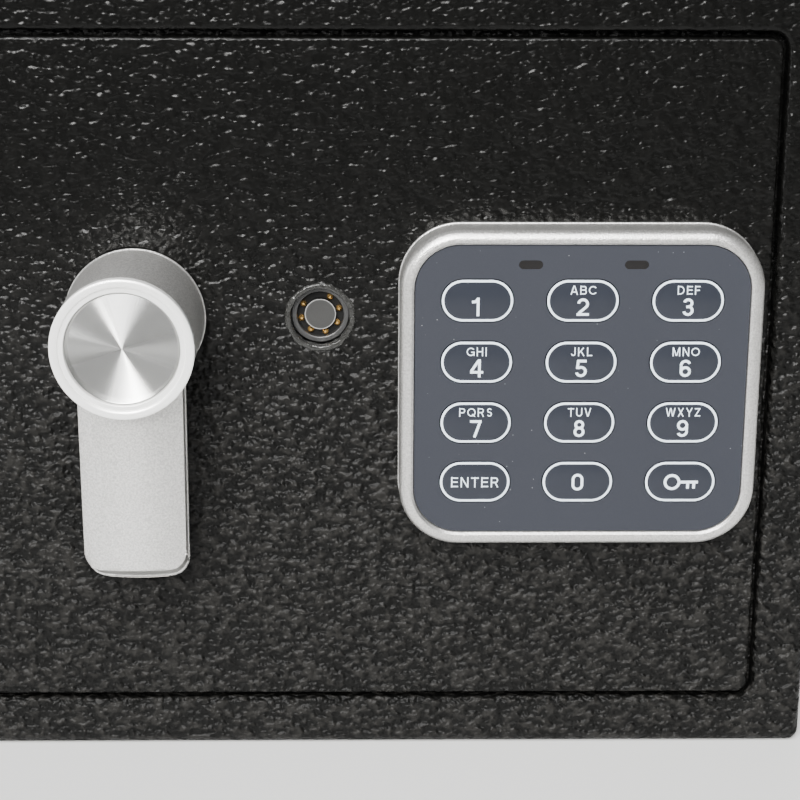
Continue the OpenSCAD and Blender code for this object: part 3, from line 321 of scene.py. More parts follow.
def spun_metal(hub):
    """Turned metal: its marks are rings about the handle's axis."""
    m = Finish("spun_metal")
    marks = m.add("TexNoise", {"noise_dimensions": "1D"},
                  {"W": m.radius(hub) * (1 / (0.16 * MM)), "Detail": 2})
    tone = m.tones(marks, m.colours.disc, 0.94, 1.05)
    return m.done(Base_Color=tone, Metallic=1.0, Roughness=0.1 + marks * 0.06)


def matte_face():
    """Matte moulded panel with a faint speckle and a little dust."""
    m = Finish("matte_face")
    grain = m.noise(0.22 * MM, 2, 0.7)
    dust = m.step(m.cells(2.1 * MM, 0.02), 0.06, 0.03) * m.step(m.noise(7 * MM, 1), 0.42, 0.6)
    broad = m.noise(28 * MM, 1)
    tone = m.tones(m.step(grain, 0.3, 0.75), m.colours.face, 0.93, 1.07)
    tone = m.mix(broad * 0.35, tone, shade(m.colours.face, 1.16))
    tone = m.mix(dust * 0.55, tone, (0.42, 0.43, 0.45))
    return m.done(Base_Color=tone, Roughness=0.5 + grain * 0.1, Normal=m.relief(grain, 0.012 * MM, 0.7),
                  Specular_IOR_Level=0.15)


def key_gloss():
    """Smooth glossy field of a key, a little darker than the panel."""
    m = Finish("key_gloss")
    soft = m.noise(5 * MM, 1)
    fine = m.noise(0.3 * MM, 1)
    tone = m.tones(soft, m.colours.key, 0.92, 1.08)
    return m.done(Base_Color=tone, Roughness=0.18 + fine * 0.06, IOR=1.3)


def key_ink():
    """Opaque screen-printed white with a trace of blue."""
    m = Finish("key_ink")
    grain = m.noise(0.12 * MM, 2, 0.6)
    return m.done(Base_Color=m.tones(grain, m.colours.ink, 0.94, 1.02),
                  Roughness=0.42 + grain * 0.08, Normal=m.relief(grain, 0.003 * MM, 0.6))


def zinc_plate(name="zinc_plate", warm=0.0):
    """Bright zinc: faint draw marks, cloudy passivation and small stains."""
    m = Finish(name)
    drawn = m.noise(0.25 * MM, 2, 0.6, vector=m.moved(scale=(0.06, 1, 1)))
    cloud = m.noise(6 * MM, 3, 0.6)
    tone = m.tones(cloud, m.colours.zinc, 0.84, 1.16)
    tone = m.mix(m.step(cloud, 0.52, 0.68) * (0.16 + warm), tone, (0.62, 0.52, 0.33))
    return m.done(Base_Color=tone, Metallic=1.0, Roughness=0.26 + drawn * 0.14 + cloud * 0.06,
                  Normal=m.relief(drawn, 0.006 * MM, 0.6))


def lock_metal():
    """Dull, finely pitted die-cast zinc of the override lock."""
    m = Finish("lock_metal")
    fine = m.noise(0.18 * MM, 3, 0.65)
    cloud = m.noise(1.8 * MM)
    tone = m.mix(cloud, (0.05, 0.05, 0.05), (0.09, 0.09, 0.09))
    return m.done(Base_Color=tone, Metallic=0.75, Roughness=0.34 + fine * 0.16,
                  Normal=m.relief(fine, 0.012 * MM, 0.8))


def lock_post():
    """Worn grey face of the keyway's centre post with a pale rim.
    Behind it the plug is painted near black as painted shade in the keyway.
    """
    m = Finish("lock_post")
    fine = m.noise(0.15 * MM, 3, 0.65)
    pale_rim = m.step(m.radius(middle("lock_barrel")), 3.02 * MM, 3.2 * MM)
    tone = m.mix(fine, (0.035, 0.035, 0.034), (0.055, 0.055, 0.054))
    tone = m.mix(pale_rim, tone, (0.26, 0.26, 0.255))
    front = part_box("lock_plug")[0].y
    # Painted shade: from a little behind the plug's front it is painted near black and not metallic, for
    # the shade in the keyway.
    keyway = m.step(m.axis("Y"), front + 0.15 * MM, front + 0.3 * MM)
    tone = m.mix(keyway, tone, (0.006, 0.006, 0.006))
    return m.done(Base_Color=tone, Metallic=(1 - keyway) * 0.35, Roughness=0.46 + fine * 0.14,
                  Specular_IOR_Level=0.15, Normal=m.relief(fine, 0.01 * MM, 0.8))


def pin_brass():
    """Bright brass with darker spots of old grease."""
    m = Finish("pin_brass")
    spots = m.step(m.noise(0.5 * MM), 0.52, 0.7)
    tone = m.mix(spots * 0.6, m.colours.brass, (0.18, 0.09, 0.025))
    return m.done(Base_Color=tone, Metallic=0.95, Roughness=0.22 + spots * 0.2)


def sintered_bronze():
    """Porous bearing bronze."""
    m = Finish("sintered_bronze")
    pores = m.cells(0.35 * MM, 0.2)
    tone = m.mix(pores, (0.2, 0.11, 0.045), (0.56, 0.36, 0.16))
    return m.done(Base_Color=tone, Metallic=0.9, Roughness=0.42, Normal=m.relief(pores, 0.02 * MM, 0.7))


def moulded_plastic(name, tone, rough=0.42, grain=0.35):
    """Spark-textured moulding."""
    m = Finish(name)
    bumps = m.noise(grain * MM, 2, 0.55)
    return m.done(Base_Color=m.tones(bumps, tone, 0.88, 1.12),
                  Roughness=rough + bumps * 0.1, Normal=m.relief(bumps, 0.02 * MM, 0.8))


def smoked_window():
    """Dark brown light window with a glossy face."""
    m = Finish("smoked_window")
    depth = m.noise(1.2 * MM)
    return m.done(Base_Color=m.mix(depth, (0.004, 0.0035, 0.0035), (0.009, 0.008, 0.0078)),
                  Roughness=0.16)


def felt():
    """Needled grey felt: tangled fibres and a soft nap."""
    m = Finish("felt")
    fibres = m.noise(0.35 * MM, 4, 0.75, 1.6)
    tufts = m.noise(2.6 * MM)
    tone = m.mix(fibres, (0.012, 0.012, 0.014), (0.065, 0.065, 0.072))
    tone = m.mix(tufts * 0.4, tone, (0.03, 0.03, 0.034))
    return m.done(Base_Color=tone, Roughness=0.95, Specular_IOR_Level=0.2, Sheen_Weight=0.35,
                  Sheen_Roughness=0.5, Normal=m.relief(fibres * 0.8 + tufts * 0.6, 0.3 * MM, 0.9))


def circuit_board():
    """Green solder mask over copper tracks, with black components in front of it."""
    m = Finish("circuit_board")
    low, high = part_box("control_board")
    tracks = m.add("TexBrick", None,
                   {"Vector": m.moved(low, turn=(math.pi / 2, 0, 0)), "Scale": 1 / (7 * MM),
                    "Mortar Size": 0.035}, output="Fac")
    board = m.mix(tracks, (0.006, 0.05, 0.022), (0.015, 0.105, 0.045))
    part = m.step(m.axis("Y"), high.y - 3.2 * MM, high.y - 3.4 * MM)
    grain = m.noise(0.4 * MM)
    tone = m.mix(part, board, m.mix(grain, (0.012, 0.012, 0.013), (0.03, 0.03, 0.032)))
    return m.done(Base_Color=tone, Roughness=0.34 + grain * 0.1)


def switch_mask():
    """Green solder mask of the switch board."""
    m = Finish("switch_mask")
    grain = m.noise(0.6 * MM)
    return m.done(Base_Color=m.mix(grain, (0.006, 0.05, 0.022), (0.012, 0.08, 0.035)), Roughness=0.36)


def battery_sleeve():
    """Plain printed sleeve: a dark blue body with a silver band, and bare metal ends."""
    m = Finish("battery_sleeve")
    low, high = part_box("battery_cells")
    x = m.axis("X")
    band = m.step(x, high.x - 15 * MM, high.x - 14.8 * MM)
    end = 1 - m.between(x, low.x, high.x, 1.2 * MM, 1.25 * MM)
    grain = m.noise(0.3 * MM)
    body = m.mix(grain, (0.014, 0.034, 0.095), (0.022, 0.048, 0.125))
    tone = m.mix(end, m.mix(band, body, (0.55, 0.56, 0.58)), (0.66, 0.65, 0.62))
    return m.done(Base_Color=tone, Metallic=m.step(band + end, 0.2, 0.8) * 0.9,
                  Roughness=0.24 + grain * 0.06)


def ribbon_wires():
    """Grey ribbon cable: ribs of single wires side by side, one of them red."""
    m = Finish("ribbon_wires")
    low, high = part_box("ribbon_cable")
    x = m.axis("X")
    ribs = m.bands("X", {"Vector": m.moved((low.x, 0, 0)), "Scale": 1 / (1.0 * MM) / BANDS_AT_1})
    red = m.step(x, low.x + 1.05 * MM, low.x + 0.95 * MM)
    tone = m.mix(ribs, (0.16, 0.16, 0.165), (0.36, 0.36, 0.37))
    return m.done(Base_Color=m.mix(red, tone, (0.35, 0.015, 0.012)), Roughness=0.45,
                  Normal=m.relief(ribs, 0.15 * MM, 0.6))


def copper_winding():
    """Enamelled winding between two black flanges."""
    m = Finish("copper_winding")
    turns = m.bands("Z", {"Vector": m.place, "Scale": 1 / (0.6 * MM) / BANDS_AT_1, "Distortion": 0.4})
    low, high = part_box("solenoid_coil")
    rim = 1 - m.between(m.axis("Z"), low.z, high.z, 1.15 * MM, 1.25 * MM)
    wound = m.mix(turns, (0.14, 0.035, 0.008), (0.5, 0.17, 0.045))
    return m.done(Base_Color=m.mix(rim, wound, (0.02, 0.02, 0.022)), Roughness=0.34,
                  Normal=m.relief(turns, 0.12 * MM, 0.7))


def placed(name, data):
    """New object of the data, linked to the scene."""
    made = bpy.data.objects.new(name, data)
    bpy.context.scene.collection.objects.link(made)
    return made


def solid(name, bm, materials):
    """New object with the faces of a bmesh, which is freed. They pick their material by index."""
    mesh = bpy.data.meshes.new(name)
    bm.to_mesh(mesh)
    bm.free()
    for material in materials:
        mesh.materials.append(material)
    return placed(name, mesh)


def rounded(corners, segments=6):
    """Corner points (u, v, radius) made into a path, with an arc at each corner that has a radius."""
    path = []
    for before, here, after in zip(corners[-1:] + corners, corners, corners[1:] + corners[:1]):
        point, radius = Vector(here[:2]), here[2]
        if not radius:
            path.append(point)
            continue
        back = (Vector(before[:2]) - point).normalized()
        on = (Vector(after[:2]) - point).normalized()
        half = back.angle(on) / 2
        hub = point + (back + on).normalized() * radius / math.sin(half)
        first = point + back * radius / math.tan(half) - hub
        turn = (math.pi - 2 * half) * (1 if back.cross(on) < 0 else -1)
        for k in range(segments + 1):
            path.append(hub + Matrix.Rotation(turn * k / segments, 2) @ first)
    return path


def only(kind, geom):
    """The elements of one kind among those that an operator gives back."""
    return [g for g in geom if isinstance(g, kind)]


def chain(bm, points, closed=False):
    """Vertices joined by edges along a path."""
    verts = [bm.verts.new(p) for p in points]
    pairs = list(zip(verts, verts[1:])) + ([(verts[-1], verts[0])] if closed else [])
    return verts, [bm.edges.new(pair) for pair in pairs]


def lathe(bm, hub, path, steps=128, closed=False):
    """Spins a path of (radius, height in front of the hub) a full turn about the axis along Y."""
    verts, edges = chain(bm, [hub + Vector((u, -v, 0)) for u, v in path], closed)
    bmesh.ops.spin(bm, geom=verts + edges, cent=hub, axis=(0, 1, 0), angle=math.tau, steps=steps,
                   use_merge=True)


def carry_round(bm, hub, path, width, height, radius, steps=20, closed=True):
    """Carries a profile round a rectangle with round corners. The path holds distances in from the
    outer edge and heights in front of the hub."""
    start = hub + Vector((width / 2, 0, radius - height / 2))
    verts, edges = chain(bm, [start + Vector((-u, -v, 0)) for u, v in path], closed)
    for side in range(4):
        turn = Matrix.Rotation(side * math.pi / 2, 4, FORWARD)
        across, along = (width, height) if side % 2 == 0 else (height, width)
        grown = bmesh.ops.extrude_edge_only(bm, edges=edges)["geom"]
        verts = only(BMVert, grown)
        fresh = set(verts)
        edges = [e for e in only(BMEdge, grown) if fresh.issuperset(e.verts)]
        bmesh.ops.translate(bm, verts=verts, vec=turn @ Vector((0, 0, along - 2 * radius)))
        corner = hub + turn @ Vector((across / 2 - radius, 0, along / 2 - radius))
        last = bmesh.ops.spin(bm, geom=verts + edges, cent=corner, axis=FORWARD, angle=math.pi / 2,
                              steps=steps)["geom_last"]
        verts, edges = only(BMVert, last), only(BMEdge, last)


def piece(name, bm, materials, body, nodes=(), angle=32):
    """Makes an object of a bmesh, smooth but for its sharp edges, that rides on a body."""
    bmesh.ops.remove_doubles(bm, verts=bm.verts, dist=0.0005 * MM)
    bmesh.ops.recalc_face_normals(bm, faces=bm.faces)
    made = solid(name, bm, materials)
    made.data.shade_smooth()
    made.data.set_sharp_from_angle(angle=math.radians(angle))
    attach(made, body)
    if nodes:
        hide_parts(*nodes)
    return made


def dress(nodes, material, edge=0):
    """Gives CAD nodes a material, and breaks their sharp edges where a width is given."""
    for node in nodes:
        mesh_object = CAD[node]
        mesh_object.data.materials.clear()
        mesh_object.data.materials.append(material)
        if edge:
            weld = mesh_object.modifiers.new("weld", "WELD")
            weld.merge_threshold = 0.001 * MM
            bevel = mesh_object.modifiers.new("edges", "BEVEL")
            bevel.width = edge
            bevel.segments = 2
            bevel.limit_method = "ANGLE"
            bevel.angle_limit = math.radians(50)


def sharp_edges(bm, degrees):
    """Edges where two faces meet at more than an angle."""
    limit = math.radians(degrees)
    return [e for e in bm.edges if len(e.link_faces) == 2 and e.calc_face_angle(0) > limit]


def softbox(name, place, aim, size, watts, spread, tint=(1, 1, 1)):
    """Rectangular area light that faces a point. Its spread is in degrees."""
    data = bpy.data.lights.new(name, "AREA")
    data.shape = "RECTANGLE"
    data.size, data.size_y = size
    data.energy = watts
    data.spread = math.radians(spread)
    data.color = tint
    lamp = placed(name, data)
    lamp.location = place
    lamp.rotation_euler = (Vector(aim) - Vector(place)).to_track_quat("-Z", "Y").to_euler()


class SAFE_OT_stage(bpy.types.Operator):
    """Makes the pale floor, the soft studio light and the photograph's camera"""
    bl_idname = "safe.stage"
    bl_label = "Stage"

    def execute(self, context):
        floor_reach, floor_cloud = 4.0, 0.5
        bm = bmesh.new()
        bmesh.ops.create_grid(bm, x_segments=1, y_segments=1, size=floor_reach)
        paint = Finish("floor_paint")
        tone = paint.mix(paint.noise(floor_cloud), (0.74, 0.74, 0.73), (0.79, 0.79, 0.78))
        solid("floor", bm, [paint.done(Base_Color=tone, Roughness=0.6)])

        world = bpy.data.worlds.new("studio")
        world.use_nodes = True
        sky = world.node_tree.nodes["Background"].inputs
        sky["Color"].default_value = (0.8, 0.86, 0.95, 1)
        sky["Strength"].default_value = 0.06
        context.scene.world = world
        aim = (0.02, DOOR_FRONT, 0.1)
        softbox("bar_light", (-0.2, -1.05, 0.52), aim, (1.45, 0.24), 4.0, 40, (1, 0.99, 0.97))
        softbox("top_light", (-0.08, -0.7, 0.85), aim, (1.0, 0.65), 4.5, 75)
        softbox("side_light", (-0.98, -0.52, 0.25), aim, (0.5, 0.5), 0.5, 60)
        softbox("rear_light", (0.5, 1.5, 0.9), (0, 0.08, 0.08), (1.2, 0.8), 2.5, 110)
        softbox("glint_light", (-0.35, -0.95, 1.15), aim, (0.07, 0.07), 0.35, 60)

        eye = (17.805 * MM, -501.657 * MM, 209.669 * MM)
        yaw, pitch, roll = 0.0168, 0.2999, -0.0045
        ahead = Vector((math.sin(yaw), math.cos(yaw), 0))
        look = ahead * math.cos(pitch) - Vector((0, 0, math.sin(pitch)))
        right = Vector((math.cos(yaw), -math.sin(yaw), 0))
        up = right.cross(look)
        axes = Matrix((right, up, -look)).transposed().to_4x4() @ Matrix.Rotation(-roll, 4, "Z")
        data = bpy.data.cameras.new("camera")
        data.lens = 92.1
        data.sensor_width = 36
        data.clip_start = 0.01
        camera = placed("camera", data)
        camera.matrix_world = Matrix.Translation(eye) @ axes
        context.scene.camera = camera
        return {"FINISHED"}


class SAFE_OT_case(bpy.types.Operator):
    """Coats the case, the strike and the stops, and lays the mat"""
    bl_idname = "safe.case"
    bl_label = "Case"

    def execute(self, context):
        coat = textured_coat()
        dress(["case_shell"], coat)
        dress(["back_panel", "door_stop", "strike_channel"], coat, 0.25 * MM)
        dress(["hinge_bushes"], sintered_bronze(), 0.15 * MM)
        self.lay_mat()
        return {"FINISHED"}

    def lay_mat(self):
        """Felt mat: a sheet with soft edges and two anchor holes."""
        low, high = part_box("floor_mat")
        bm = bmesh.new()
        bmesh.ops.create_grid(bm, x_segments=110, y_segments=60, size=0.5)
        size = high - low
        bmesh.ops.scale(bm, vec=(size.x, size.y, 1), verts=bm.verts)
        bmesh.ops.translate(bm, vec=((low.x + high.x) / 2, (low.y + high.y) / 2, low.z), verts=bm.verts)
        anchor_x, hole_r = 60 * MM, 7 * MM
        anchors = [Vector((x, 0, low.z)) for x in (-anchor_x, anchor_x)]
        inside = [f for f in bm.faces
                  if any((f.calc_center_median() - a).length < hole_r for a in anchors)]
        bmesh.ops.delete(bm, geom=inside, context="FACES")
        for v in bm.verts:
            if v.is_boundary:
                for a in anchors:
                    if (v.co - a).length < hole_r * 1.4:
                        v.co = a + (v.co - a).normalized() * hole_r
        lifted = bmesh.ops.extrude_face_region(bm, geom=bm.faces[:])["geom"]
        thick = size.z - 0.25 * MM
        ripple_rate, ripple_height = 60, 0.12 * MM
        edge_drop, edge_reach = 0.6 * MM, 1.2 * MM
        for v in only(BMVert, lifted):
            ripple = noise.noise(v.co * ripple_rate) * ripple_height
            edge = min(v.co.x - low.x, high.x - v.co.x, v.co.y - low.y, high.y - v.co.y)
            v.co.z += thick + ripple - edge_drop * math.exp(-edge / edge_reach)
        mat = piece("felt_mat", bm, [felt()], "case", ["floor_mat"], 70)


class SAFE_OT_door(bpy.types.Operator):
    """Coats the door, its pan and its cover, and makes the wet edge round the lock's hole"""
    bl_idname = "safe.door"
    bl_label = "Door"

    def execute(self, context):
        coat = textured_coat()
        dress(["door_plate"], coat)
        dress(["lock_pan", "inner_cover"], textured_coat("inner_coat", 0.6), 0.2 * MM)
        dress(["hinge_blocks"], zinc_plate("hinge_zinc", 0.2), 0.4 * MM)
        dress(["hinge_pins", "cover_screws", "mount_screws", "keypad_screws", "carriage_studs"],
              zinc_plate("screw_zinc"), 0.15 * MM)
        self.bead()
        return {"FINISHED"}

    def bead(self):
        """Thick wet edge of the coat round the lock's hole."""
        hub = on_door("lock_barrel")
        hole_r, swell = 6.4 * MM, 0.3 * MM
        inner = hole_r - 0.2 * MM
        path = rounded([(inner, -1.8 * MM, 0), (inner, swell, 0.28 * MM),
                        (hole_r + 0.7 * MM, swell, 0.3 * MM), (hole_r + 1.1 * MM, -0.1 * MM, 0)], 5)
        bm = bmesh.new()
        lathe(bm, hub, path, 120, closed=True)
        fine_rate, coarse_rate, forward = 900, 350, -0.35
        for v in bm.verts:
            out = (v.co - hub).normalized()
            rag = noise.noise(v.co * fine_rate) * 0.16 * MM + noise.noise(v.co * coarse_rate) * 0.14 * MM
            v.co += Vector((out.x, forward, out.z)) * rag
        piece("lock_hole_bead", bm, [wet_edge()], "door")


class SAFE_OT_handle(bpy.types.Operator):
    """Makes the lever handle: barrel, grip, back plate, ring and spun disc"""
    bl_idname = "safe.handle"
    bl_label = "Handle"

    def execute(self, context):
        sizes = context.scene.safe_sizes
        hub = on_door("handle_ring")
        self.reach = heights("handle_ring")[1]
        paint = silver_paint()
        self.lever(hub, sizes, paint)
        self.ring(hub, sizes, satin_ring())
        self.disc(hub, sizes, spun_metal(hub))
        dress(["handle_washer"], moulded_plastic("washer_plastic", (0.02, 0.02, 0.02)))
        return {"FINISHED"}

    def lever(self, hub, sizes, paint):
        """Barrel with a bright foot, and the crowned grip that hangs from it."""
        bore, front = 5.5 * MM, self.reach - 1.9 * MM
        foot = heights("handle_lever")[0]
        foot_r, foot_top = sizes.barrel_r + 0.62 * MM, foot + sizes.foot
        bm = bmesh.new()
        lathe(bm, hub, rounded([
            (bore, foot, 0), (foot_r, foot, 0.12 * MM), (foot_r, foot_top, 0.14 * MM),
            (foot_r - 0.2 * MM, foot_top + 0.18 * MM, 0), (sizes.barrel_r, front, 0.2 * MM),
            (bore, front, 0)], 4), closed=True)
        piece("handle_barrel", bm, [paint], "handle")

        plate_back = heights("handle_back_plate")[0]
        plate_t, plate_lip = 1.2 * MM, 0.2 * MM
        half = span("handle_back_plate").x / 2 - plate_lip
        self.bar(hub, sizes, half, plate_back + plate_t, None, 27, "handle_grip", paint, "handle_lever")
        self.bar(hub, sizes, half + plate_lip, plate_back, plate_back + plate_t, 15, "grip_back_plate",
                 paint, "handle_back_plate")

    def bar(self, hub, sizes, half, back, front, cuts, name, paint, node):
        """Bar with a sloping round-cornered end that hangs from the hub. Without a front height its
        front is the grip's crown, and a fine line runs across its end."""
        slope, taper, crown_power = math.radians(28), 0.02, 2.3
        long = hub.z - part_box(node)[0].z - 0.02 * MM
        bm = bmesh.new()
        bmesh.ops.create_cube(bm, size=2)
        bmesh.ops.subdivide_edges(bm, edges=bm.edges, cuts=cuts, use_grid_fill=True)
        for v in bm.verts:
            across, rise, down = math.sin(v.co.x * math.pi / 2), (1 - v.co.y) / 2, (1 - v.co.z) / 2
            x = across * half * (1 - taper * down)
            top = front or sizes.crown - sizes.crown_drop * abs(across) ** crown_power
            height = back + rise * (top - back)
            end = long - (height - back) * math.tan(slope)
            beyond = min(1, max(0, abs(across) * half - half + sizes.end_corner) / sizes.end_corner)
            end -= sizes.end_corner * (1 - math.sqrt(1 - beyond ** 2)) / math.cos(slope)
            end -= sizes.end_bow * across ** 2
            row = round((1 - rise) * (cuts + 1))
            if not front and down == 1 and row == 2:
                end -= sizes.end_line
            v.co = hub + Vector((x, -height, -end * down))
        bmesh.ops.bevel(bm, geom=sharp_edges(bm, 44), offset=0.3 * MM, segments=3, profile=0.5,
                        affect="EDGES", material=-1)
        piece(name, bm, [paint], "handle", [node], 40)

    def ring(self, hub, sizes, metal):
        """Front ring: a rounded lip and a shallow step down to the disc."""
        outer, front = span("handle_ring").x / 2, self.reach
        well_r = span("handle_disc").x / 2 + 0.1 * MM
        step, shoulder = outer - sizes.lip, front - 0.2 * MM
        bm = bmesh.new()
        lathe(bm, hub, rounded([
            (outer - 0.15 * MM, front - 2.2 * MM, 0), (outer, front - 1.9 * MM, 0.1 * MM),
            (outer, shoulder, 0.25 * MM), (outer - 0.3 * MM, front - 0.07 * MM, 0),
            (outer - 0.82 * MM, front, 0), (step + 0.3 * MM, front - 0.07 * MM, 0),
            (step, shoulder, 0.08 * MM), (step - 0.1 * MM, front - 0.55 * MM, 0.04 * MM),
            (well_r + 0.12 * MM, front - 0.45 * MM, 0.16 * MM), (well_r, front - 1.2 * MM, 0),
            (well_r, front - 2.2 * MM, 0)]), 160, closed=True)
        piece("ring_front", bm, [metal], "handle", ["handle_ring"], 50)

    def disc(self, hub, sizes, metal):
        """Spun disc: fine turned grooves and a shadow gap at its edge."""
        disc_r = span("handle_disc").x / 2
        front = heights("handle_disc")[1]
        back, chamfer = front - 0.8 * MM, 0.1 * MM
        path = [(0, front)]
        for k in range(round((disc_r - 0.2 * MM) / sizes.groove_pitch)):
            near = (k + 0.5) * sizes.groove_pitch
            path += [(near, front - sizes.groove_depth), (near + sizes.groove_pitch / 2, front)]
        path += [(disc_r - chamfer, front), (disc_r, front - chamfer), (disc_r, back), (0, back)]
        bm = bmesh.new()
        lathe(bm, hub, path, 144)
        piece("spun_disc", bm, [metal], "handle", ["handle_disc"], 30)


class SAFE_OT_override_lock(bpy.types.Operator):
    """Finishes the tubular override lock's barrel, plug and pins"""
    bl_idname = "safe.override_lock"
    bl_label = "Override lock"

    def execute(self, context):
        dress(["lock_barrel"], lock_metal(), 0.18 * MM)
        dress(["lock_plug"], lock_post(), 0.12 * MM)
        dress(["lock_pins"], pin_brass())
        return {"FINISHED"}


# Key legends in cap heights: each glyph's width, then the centre lines of its strokes. Four numbers are
# a bar from point to point. Five are an arc: its centre, radius and first and last angle.
STEM = (0.1, 0, 0.1, 1)
GLYPHS = {
    "0": (0.68, [(0.34, 0.66, 0.24, 0, 180), (0.34, 0.34, 0.24, 180, 360), (0.1, 0.34, 0.1, 0.66),
                 (0.58, 0.34, 0.58, 0.66)]),
    "1": (0.66, [(0.36, 0, 0.36, 1), (0.04, 0.77, 0.3, 0.8), (0.24, 0.78, 0.34, 0.93)]),
    "2": (0.68, [(0.34, 0.665, 0.235, -38, 172), (0.545, 0.54, 0.13, 0.16), (0.02, 0.095, 0.66, 0.095)]),
    "3": (0.68, [(0.33, 0.71, 0.195, -90, 165), (0.34, 0.31, 0.22, -168, 90), (0.24, 0.515, 0.34, 0.515)]),
    "4": (0.7, [(0.5, 0, 0.5, 1), (0.46, 0.94, 0.07, 0.34), (0.02, 0.285, 0.7, 0.285)]),
    "5": (0.68, [(0.14, 0.905, 0.62, 0.905), (0.19, 0.95, 0.14, 0.47), (0.34, 0.325, 0.235, -165, 128)]),
    "6": (0.68, [(0.345, 0.32, 0.225, 0, 360), (0.12, 0.32, 0.12, 0.64), (0.345, 0.665, 0.235, 25, 182)]),
    "7": (0.66, [(0.03, 0.905, 0.64, 0.905), (0.56, 0.88, 0.27, 0)]),
    "8": (0.68, [(0.34, 0.715, 0.19, 0, 360), (0.34, 0.315, 0.22, 0, 360)]),
    "9": (0.68, [(0.335, 0.68, 0.225, 0, 360), (0.56, 0.68, 0.56, 0.36), (0.335, 0.335, 0.235, -155, 2)]),
    "A": (0.86, [(0.08, 0, 0.4, 1), (0.78, 0, 0.46, 1), (0.22, 0.3, 0.64, 0.3)]),
    "B": (0.78, [STEM, (0.1, 0.91, 0.48, 0.91), (0.1, 0.52, 0.48, 0.52), (0.1, 0.09, 0.48, 0.09),
                 (0.47, 0.715, 0.195, -90, 90), (0.48, 0.305, 0.215, -90, 90)]),
    "C": (0.84, [(0.47, 0.5, 0.405, 38, 322)]),
    "D": (0.82, [STEM, (0.1, 0.91, 0.33, 0.91), (0.1, 0.09, 0.33, 0.09), (0.31, 0.5, 0.41, -90, 90)]),
    "E": (0.68, [STEM, (0.1, 0.91, 0.68, 0.91), (0.1, 0.52, 0.64, 0.52), (0.1, 0.09, 0.68, 0.09)]),
    "F": (0.64, [STEM, (0.1, 0.91, 0.64, 0.91), (0.1, 0.5, 0.58, 0.5)]),
    "G": (0.9, [(0.48, 0.5, 0.405, 40, 340), (0.52, 0.45, 0.9, 0.45), (0.84, 0.45, 0.84, 0.05)]),
    "H": (0.78, [STEM, (0.68, 0, 0.68, 1), (0.1, 0.52, 0.68, 0.52)]),
    "I": (0.2, [STEM]),
    "J": (0.58, [(0.48, 0.28, 0.48, 1), (0.29, 0.285, 0.19, 180, 360)]),
    "K": (0.8, [STEM, (0.14, 0.36, 0.66, 0.97), (0.36, 0.58, 0.7, 0.02)]),
    "L": (0.62, [STEM, (0.1, 0.09, 0.62, 0.09)]),
    "M": (0.92, [STEM, (0.82, 0, 0.82, 1), (0.14, 0.95, 0.44, 0.06), (0.78, 0.95, 0.48, 0.06)]),
    "N": (0.8, [STEM, (0.7, 0, 0.7, 1), (0.14, 0.94, 0.66, 0.06)]),
    "O": (0.94, [(0.47, 0.5, 0.405, 0, 360)]),
    "P": (0.74, [STEM, (0.1, 0.91, 0.43, 0.91), (0.1, 0.46, 0.43, 0.46), (0.42, 0.685, 0.225, -90, 90)]),
    "Q": (0.94, [(0.47, 0.5, 0.405, 0, 360), (0.56, 0.3, 0.86, 0.02)]),
    "R": (0.78, [STEM, (0.1, 0.91, 0.45, 0.91), (0.1, 0.48, 0.45, 0.48), (0.44, 0.695, 0.215, -90, 90),
                 (0.46, 0.46, 0.68, 0)]),
    "S": (0.74, [(0.37, 0.715, 0.2, 25, 270), (0.37, 0.3, 0.215, -155, 90)]),
    "T": (0.7, [(0.35, 0, 0.35, 1), (0, 0.91, 0.7, 0.91)]),
    "U": (0.76, [(0.1, 0.36, 0.1, 1), (0.66, 0.36, 0.66, 1), (0.38, 0.37, 0.28, 180, 360)]),
    "V": (0.78, [(0.08, 1, 0.37, 0.03), (0.7, 1, 0.41, 0.03)]),
    "W": (1.12, [(0.08, 1, 0.3, 0.03), (0.54, 0.98, 0.32, 0.03), (0.58, 0.98, 0.8, 0.03),
                 (1.04, 1, 0.82, 0.03)]),
    "X": (0.76, [(0.1, 0, 0.66, 1), (0.66, 0, 0.1, 1)]),
    "Y": (0.76, [(0.07, 1, 0.37, 0.46), (0.69, 1, 0.39, 0.46), (0.38, 0, 0.38, 0.48)]),
    "Z": (0.7, [(0.04, 0.91, 0.66, 0.91), (0.04, 0.09, 0.66, 0.09), (0.12, 0.1, 0.58, 0.9)]),
}
# Outline of a key, the radius of its round ends and half the length of its straight sides
KEY_WIDTH, KEY_HEIGHT = 15.0 * MM, 9.07 * MM
END_R = KEY_HEIGHT / 2
STRAIGHT = KEY_WIDTH / 2 - END_R
# Widths of strokes and the gap between letters, in cap heights
DIGIT_STROKE = 0.138
LETTER_STROKE = 0.11
LETTER_GAP = 0.2
LEGENDS = {
    "key_1": ("", "1"), "key_2": ("ABC", "2"), "key_3": ("DEF", "3"), "key_4": ("GHI", "4"),
    "key_5": ("JKL", "5"), "key_6": ("MNO", "6"), "key_7": ("PQRS", "7"), "key_8": ("TUV", "8"),
    "key_9": ("WXYZ", "9"), "key_0": ("", "0"),
}


